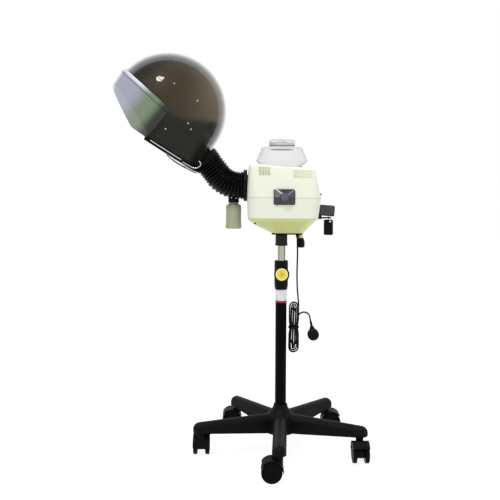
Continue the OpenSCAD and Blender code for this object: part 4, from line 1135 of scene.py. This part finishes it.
@dataclass
class HoodTrim(Assembly):
    """Rivets, trim wires, the hook wire and the rail wire of the hood, with painted shadow lines
    in the groove under the visor's band and under the rail wire.

    Places are in millimetres in the hood's side view: across it, and up from its middle plane.
    """

    dome_r: float = 183.0
    visor_r: float = 189.0
    rivet_r: float = 2.3
    rivet_proud: float = 0.4
    rivets: tuple[Pair, ...] = (
        (-8.0, 74.0), (75.0, 70.0), (89.0, -1.0), (45.0, -51.0), (105.0, -11.0))
    rise: float = math.radians(8.5)
    band_top: float = 5.0
    band_height: float = 13.2
    pivot_t: float = 26.0
    groove_t: float = 25.0
    groove_r: float = 0.7
    groove_proud: float = 0.2
    groove_steps: int = 96
    rim_n: float = -90.0
    wire_r: float = 1.5
    trim_span: Pair = (27.0, 101.0)
    trim_steps: int = 32
    trim_n: float = -102.4
    trim_gap: float = 2.7
    wire_gap: float = 2.6
    wire_turn_t: float = 160.0
    wires: tuple[tuple[str, Finish, tuple[Pair, ...]], ...] = (
        ("hook_wire", CHROME, (
            (134.0, -105.8), (151.5, -105.4), (165.0, -105.0), (174.5, -101.5), (181.0, -94.0),
            (183.0, -86.0), (179.5, -79.5), (172.0, -78.0))),
        ("rail_wire", CHROME, (
            (108.0, -113.0), (122.0, -114.6), (140.0, -114.2), (160.0, -112.6),
            (180.0, -111.0))),
        # Painted shadow: a black line under the rail wire, where its shade falls on the rim.
        ("rail_shadow", PAINTED_SHADOW_BLACK, (
            (89.0, -112.6), (106.0, -116.0), (124.0, -118.0), (150.0, -116.8), (172.0, -114.6),
            (186.0, -112.6))),
    )

    def _skin_y(self, t: float, n: float, r: float) -> float:
        """Gives the distance of a skin of radius r from the middle plane, in millimetres."""
        rest = r * r - t * t - (n * n if n > 0 else 0.0)
        return math.sqrt(max(rest, 0.0))

    def _place(self, t: float, y: float, n: float) -> Vector:
        """Turns a point of the hood's own frame, in millimetres, into the model's frame."""
        return HOOD_FRAME @ (Vector((t, y, n)) * MM)

    def build(self) -> None:
        """Builds all the trim."""
        self._rivets()
        self._groove()
        self._wires()

    def _rivets(self) -> None:
        """Models one domed rivet and copies it to each place on both sides."""
        r = self.rivet_r
        profile = ((0, -1.6), (r, -1.6), (r, 0.1), (0.86 * r, 0.6), (0.5 * r, 0.95),
                   (0.2 * r, 1.0), (0, 0.7))
        rivet = self.bench.turned("rivet", profile, 28)
        for index, (t, n) in enumerate(self.rivets):
            for side, tag in SIDES:
                y = side * self._skin_y(t, n, self.dome_r)
                outward = Vector((t, y, max(n, 0.0))).normalized()
                turn = outward.to_track_quat("Z", "Y").to_matrix().to_4x4()
                place = (Vector((t, y, n)) + outward * self.rivet_proud) * MM
                twin = self.bench.copy(rivet, f"dome_rivet_{index + 1}{tag}",
                                       HOOD_FRAME @ Matrix.Translation(place) @ turn)
                self.bench.finish(twin, CHROME, Body.HOOD)
        bpy.data.objects.remove(rivet)

    def _groove(self) -> None:
        """Runs a black painted shadow line in the groove under the visor's raised band, round the
        visor's front.
        """
        points = []
        steps = self.groove_steps
        for k in range(steps + 1):
            bow = math.sin(math.pi * (k / steps)) ** 0.9
            t = self.groove_t - (self.groove_t + self.visor_r) * bow
            n = self.band_top - self.band_height + (self.pivot_t - t) * math.tan(self.rise)
            y = self._skin_y(t, n, self.visor_r + self.groove_proud)
            if y > 0.5:
                points.append(self._place(t, -y if k < steps // 2 else y, n))
        groove = self.bench.wire("visor_groove_shadow", points, self.groove_r * MM, sides=2)
        self.bench.finish(groove, PAINTED_SHADOW_BLACK, Body.VISOR)

    def _wires(self) -> None:
        """Bends the trim wires along the rim and the hook and rail at their end."""
        first, run = self.trim_span
        spans = [first + run * k / self.trim_steps for k in range(self.trim_steps + 1)]
        for side, tag in SIDES:
            trim = [self._place(t, side * self._skin_y(t, self.rim_n, self.dome_r + self.trim_gap),
                                self.trim_n) for t in spans]
            piece = self.bench.wire(f"trim_wire_{tag}", trim, self.wire_r * MM)
            self.bench.finish(piece, CHROME, Body.HOOD)
            for name, finish, path in self.wires:
                reach = self.dome_r + self.wire_gap
                placed = [self._place(t, side * self._skin_y(min(t, self.wire_turn_t), self.rim_n,
                                                             reach), n) for t, n in path]
                route = smooth_route(placed, self.wire_r * MM)
                wire = self.bench.wire(f"{name}_{tag}", route, self.wire_r * MM)
                self.bench.finish(wire, finish, Body.HOOD)


@dataclass
class HousingTrim(Assembly):
    """Seam line, vent baffles, screws and the lip under the control plate, in millimetres."""

    left: float = -108.5
    right: float = 118.5
    half_d: float = 95.0
    corner: float = 34.0
    seam_z: float = 792.0
    seam_proud: float = 0.3
    seam_height: float = 1.1
    rim: float = 2.0
    lean: float = math.radians(6.5)
    baffles: tuple[tuple[str, float, float, float, float], ...] = (
        ("left", -56.0, 46.0, 873.0, 34.0), ("right", 61.0, 66.0, 864.0, 32.0))
    baffle_depth: float = 3.9
    baffle_thick: float = 1.2
    screw_place: Triple = (-84.0, 71.5, 712.5)
    screw_axis: Triple = (-0.35, 0.62, -0.70)
    lip_centre: Triple = (8.0, -93.6, 769.5)
    lip_size: Triple = (54.0, 6.0, 12.0)
    lip_taper: Triple = (0.84, 1.0, 0.7)
    lip_taper_z: float = 773.0
    lip_round: float = 2.4

    def build(self) -> None:
        """Builds all the trim."""
        self._seam()
        self._baffles()
        self._screws()
        self._lip()

    def _seam(self) -> None:
        """Makes the thin shadow line between the two shells."""
        proud = self.seam_proud
        seam = self.bench.box(
            "shell_seam", ((self.left + self.right) / 2, 0.0, self.seam_z),
            (self.right - self.left + proud, 2 * self.half_d + proud, self.seam_height))
        self.bench.edit(seam, Pick.EDGES,
                        lambda edge: abs(edge.verts[0].co.z - edge.verts[1].co.z) > 0.5 * MM)
        bpy.ops.mesh.bevel(offset=self.corner * MM, segments=12, affect="EDGES")
        self.bench.leave_edit()
        self.bench.edit(seam, Pick.FACES, lambda face: abs(face.normal.z) > 0.9)
        bpy.ops.mesh.inset(thickness=self.rim * MM)
        bpy.ops.mesh.bridge_edge_loops()
        self.bench.leave_edit()
        self.bench.finish(seam, SEAM_GREY, Body.HEAD)

    def _baffles(self) -> None:
        """Sets the pale baffle behind each row of vent slots."""
        for name, x, width, z, height in self.baffles:
            y = -self.half_d + (z - self.seam_z) * math.tan(self.lean) + self.baffle_depth
            baffle = self.bench.box(f"vent_baffle_{name}", (x, y, z),
                                    (width, self.baffle_thick, height), -self.lean)
            self.bench.edit(baffle, Pick.FACES, lambda face: face.normal.y < -0.5)
            bpy.ops.mesh.inset(thickness=self.rim * MM, depth=-0.3 * MM)
            self.bench.leave_edit()
            self.bench.finish(baffle, VENT_GREEN, Body.HEAD)

    def _screws(self) -> None:
        """Sets the recessed screws in the underside's slopes, black with the painted shadow of
        their recesses.
        """
        profile = ((0, -3.0), (2.5, -3.0), (2.5, 0.4), (2.1, 0.7), (1.7, 0.2), (1.5, -0.7),
                   (0, -0.9))
        for index, (side, _) in enumerate(SIDES):
            flip = Vector((1.0, side, 1.0))
            axis = (Vector(self.screw_axis) * flip).normalized()
            screw = self.bench.turned(f"shell_screw_{index + 1}", profile, 24,
                                      Vector(self.screw_place) * flip, axis)
            self.bench.finish(screw, PAINTED_SHADOW_BLACK, Body.HEAD)

    def _lip(self) -> None:
        """Moulds the shallow lip under the control plate."""
        lip = self.bench.box("plate_lip", self.lip_centre, self.lip_size)
        self.bench.edit(lip, Pick.FACES, lambda face: face.normal.y < -0.9)
        front = self.lip_centre[1] - self.lip_size[1] / 2
        bpy.ops.transform.resize(value=self.lip_taper, center_override=(
            self.lip_centre[0] * MM, front * MM, self.lip_taper_z * MM))
        bpy.ops.mesh.select_all(action="SELECT")
        bpy.ops.mesh.bevel(offset=self.lip_round * MM, segments=5, affect="EDGES")
        self.bench.leave_edit()
        self.bench.finish(lip, CREAM, Body.HEAD, smooth=60.0)


@dataclass
class ColumnTrim(Assembly):
    """The white wrap band on the column and its red stripe, in millimetres.

    Each band has its name, foot, top, thickness and finish.
    """

    column_r: float = 17.5
    gap: float = 0.02
    edge_in: float = 0.1
    edge_up: float = 0.15
    bands: tuple[tuple[str, float, float, float, Finish], ...] = (
        ("wrap_band", 468.0, 502.5, 0.35, BAND_WHITE),
        ("wrap_stripe", 462.0, 468.4, 0.45, BAND_RED))

    def build(self) -> None:
        """Wraps the band and the stripe round the column."""
        for name, low, high, proud, finish in self.bands:
            skin, r = self.column_r + self.gap, self.column_r + proud
            profile = ((skin, low), (r - self.edge_in, low), (r, low + self.edge_up),
                       (r, high - self.edge_up), (r - self.edge_in, high), (skin, high))
            band = self.bench.turned(name, profile, 72, closed=True)
            self.bench.finish(band, finish, Body.STAND)


@dataclass
class JarTrim(Assembly):
    """The dark seal rings of the jar's cap and neck, which also paint the dark refraction arcs of
    the clear plastic: radius, height, thickness and body.
    """

    rings: tuple[tuple[str, float, float, float, Body], ...] = (
        ("cap_gasket_refraction_arc", 39.6, 953.5, 1.3, Body.CAP), ("neck_seal_refraction_arc", 34.6, 941.0, 1.7, Body.JAR),
        ("cap_inner_ring", 15.0, 964.6, 1.2, Body.CAP))

    def build(self) -> None:
        """Turns the dark seal rings that show through the clear plastic, where they also paint its
        dark refraction arcs.
        """
        turns = [math.pi * k / 6 for k in range(12)]
        for name, ring_r, height, thick, body in self.rings:
            section = [(ring_r + thick * math.cos(a), 0.7 * thick * math.sin(a)) for a in turns]
            ring = self.bench.turned(name, section, 96, (0.0, 0.0, height), closed=True)
            self.bench.finish(ring, GASKET_AND_PAINTED_REFRACTION, body)


@dataclass
class TagTrim(Assembly):
    """The silver eyelet of the hang tag, in millimetres."""

    place: Triple = (152.5, -1.3, 716.6)
    section: tuple[Pair, ...] = (
        (1.5, -1.0), (2.1, -1.0), (2.9, -0.75), (3.0, -0.6), (2.2, -0.55), (1.8, 0.0),
        (2.2, 0.55), (3.0, 0.6), (2.9, 0.75), (2.1, 1.0), (1.5, 1.0))

    def build(self) -> None:
        """Turns the eyelet ring."""
        eyelet = self.bench.turned("tag_eyelet", self.section, 32, self.place, BACK, closed=True)
        self.bench.finish(eyelet, CHROME, Body.TAG, smooth=80.0)


def dress_nodes(frame: dict, groups: EffectGroups) -> None:
    """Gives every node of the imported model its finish.

    Args:
        frame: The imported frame.
        groups: The shared effect groups.
    """
    for finish, names in NODE_FINISHES.items():
        for name in names:
            materials = frame["nodes"][name].data.materials
            materials.clear()
            materials.append(finish.build(groups))
            LOG.info("Dressed %s in %s", name, finish.name)


def main() -> None:
    """Loads the frame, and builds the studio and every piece."""
    logging.basicConfig(level=logging.INFO, format="%(name)s: %(message)s")
    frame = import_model()
    Studio().build()
    bench = Bench(EffectGroups())
    MainsCord(bench).build(frame)
    for assembly in (SteamHose, HoodTrim, HousingTrim, ColumnTrim, JarTrim, TagTrim):
        assembly(bench).build()
    for piece in bench.made:
        LOG.info("Made %s", piece.name)
    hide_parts("rim_wires")
    dress_nodes(frame, bench.groups)


if __name__ == "__main__":
    main()
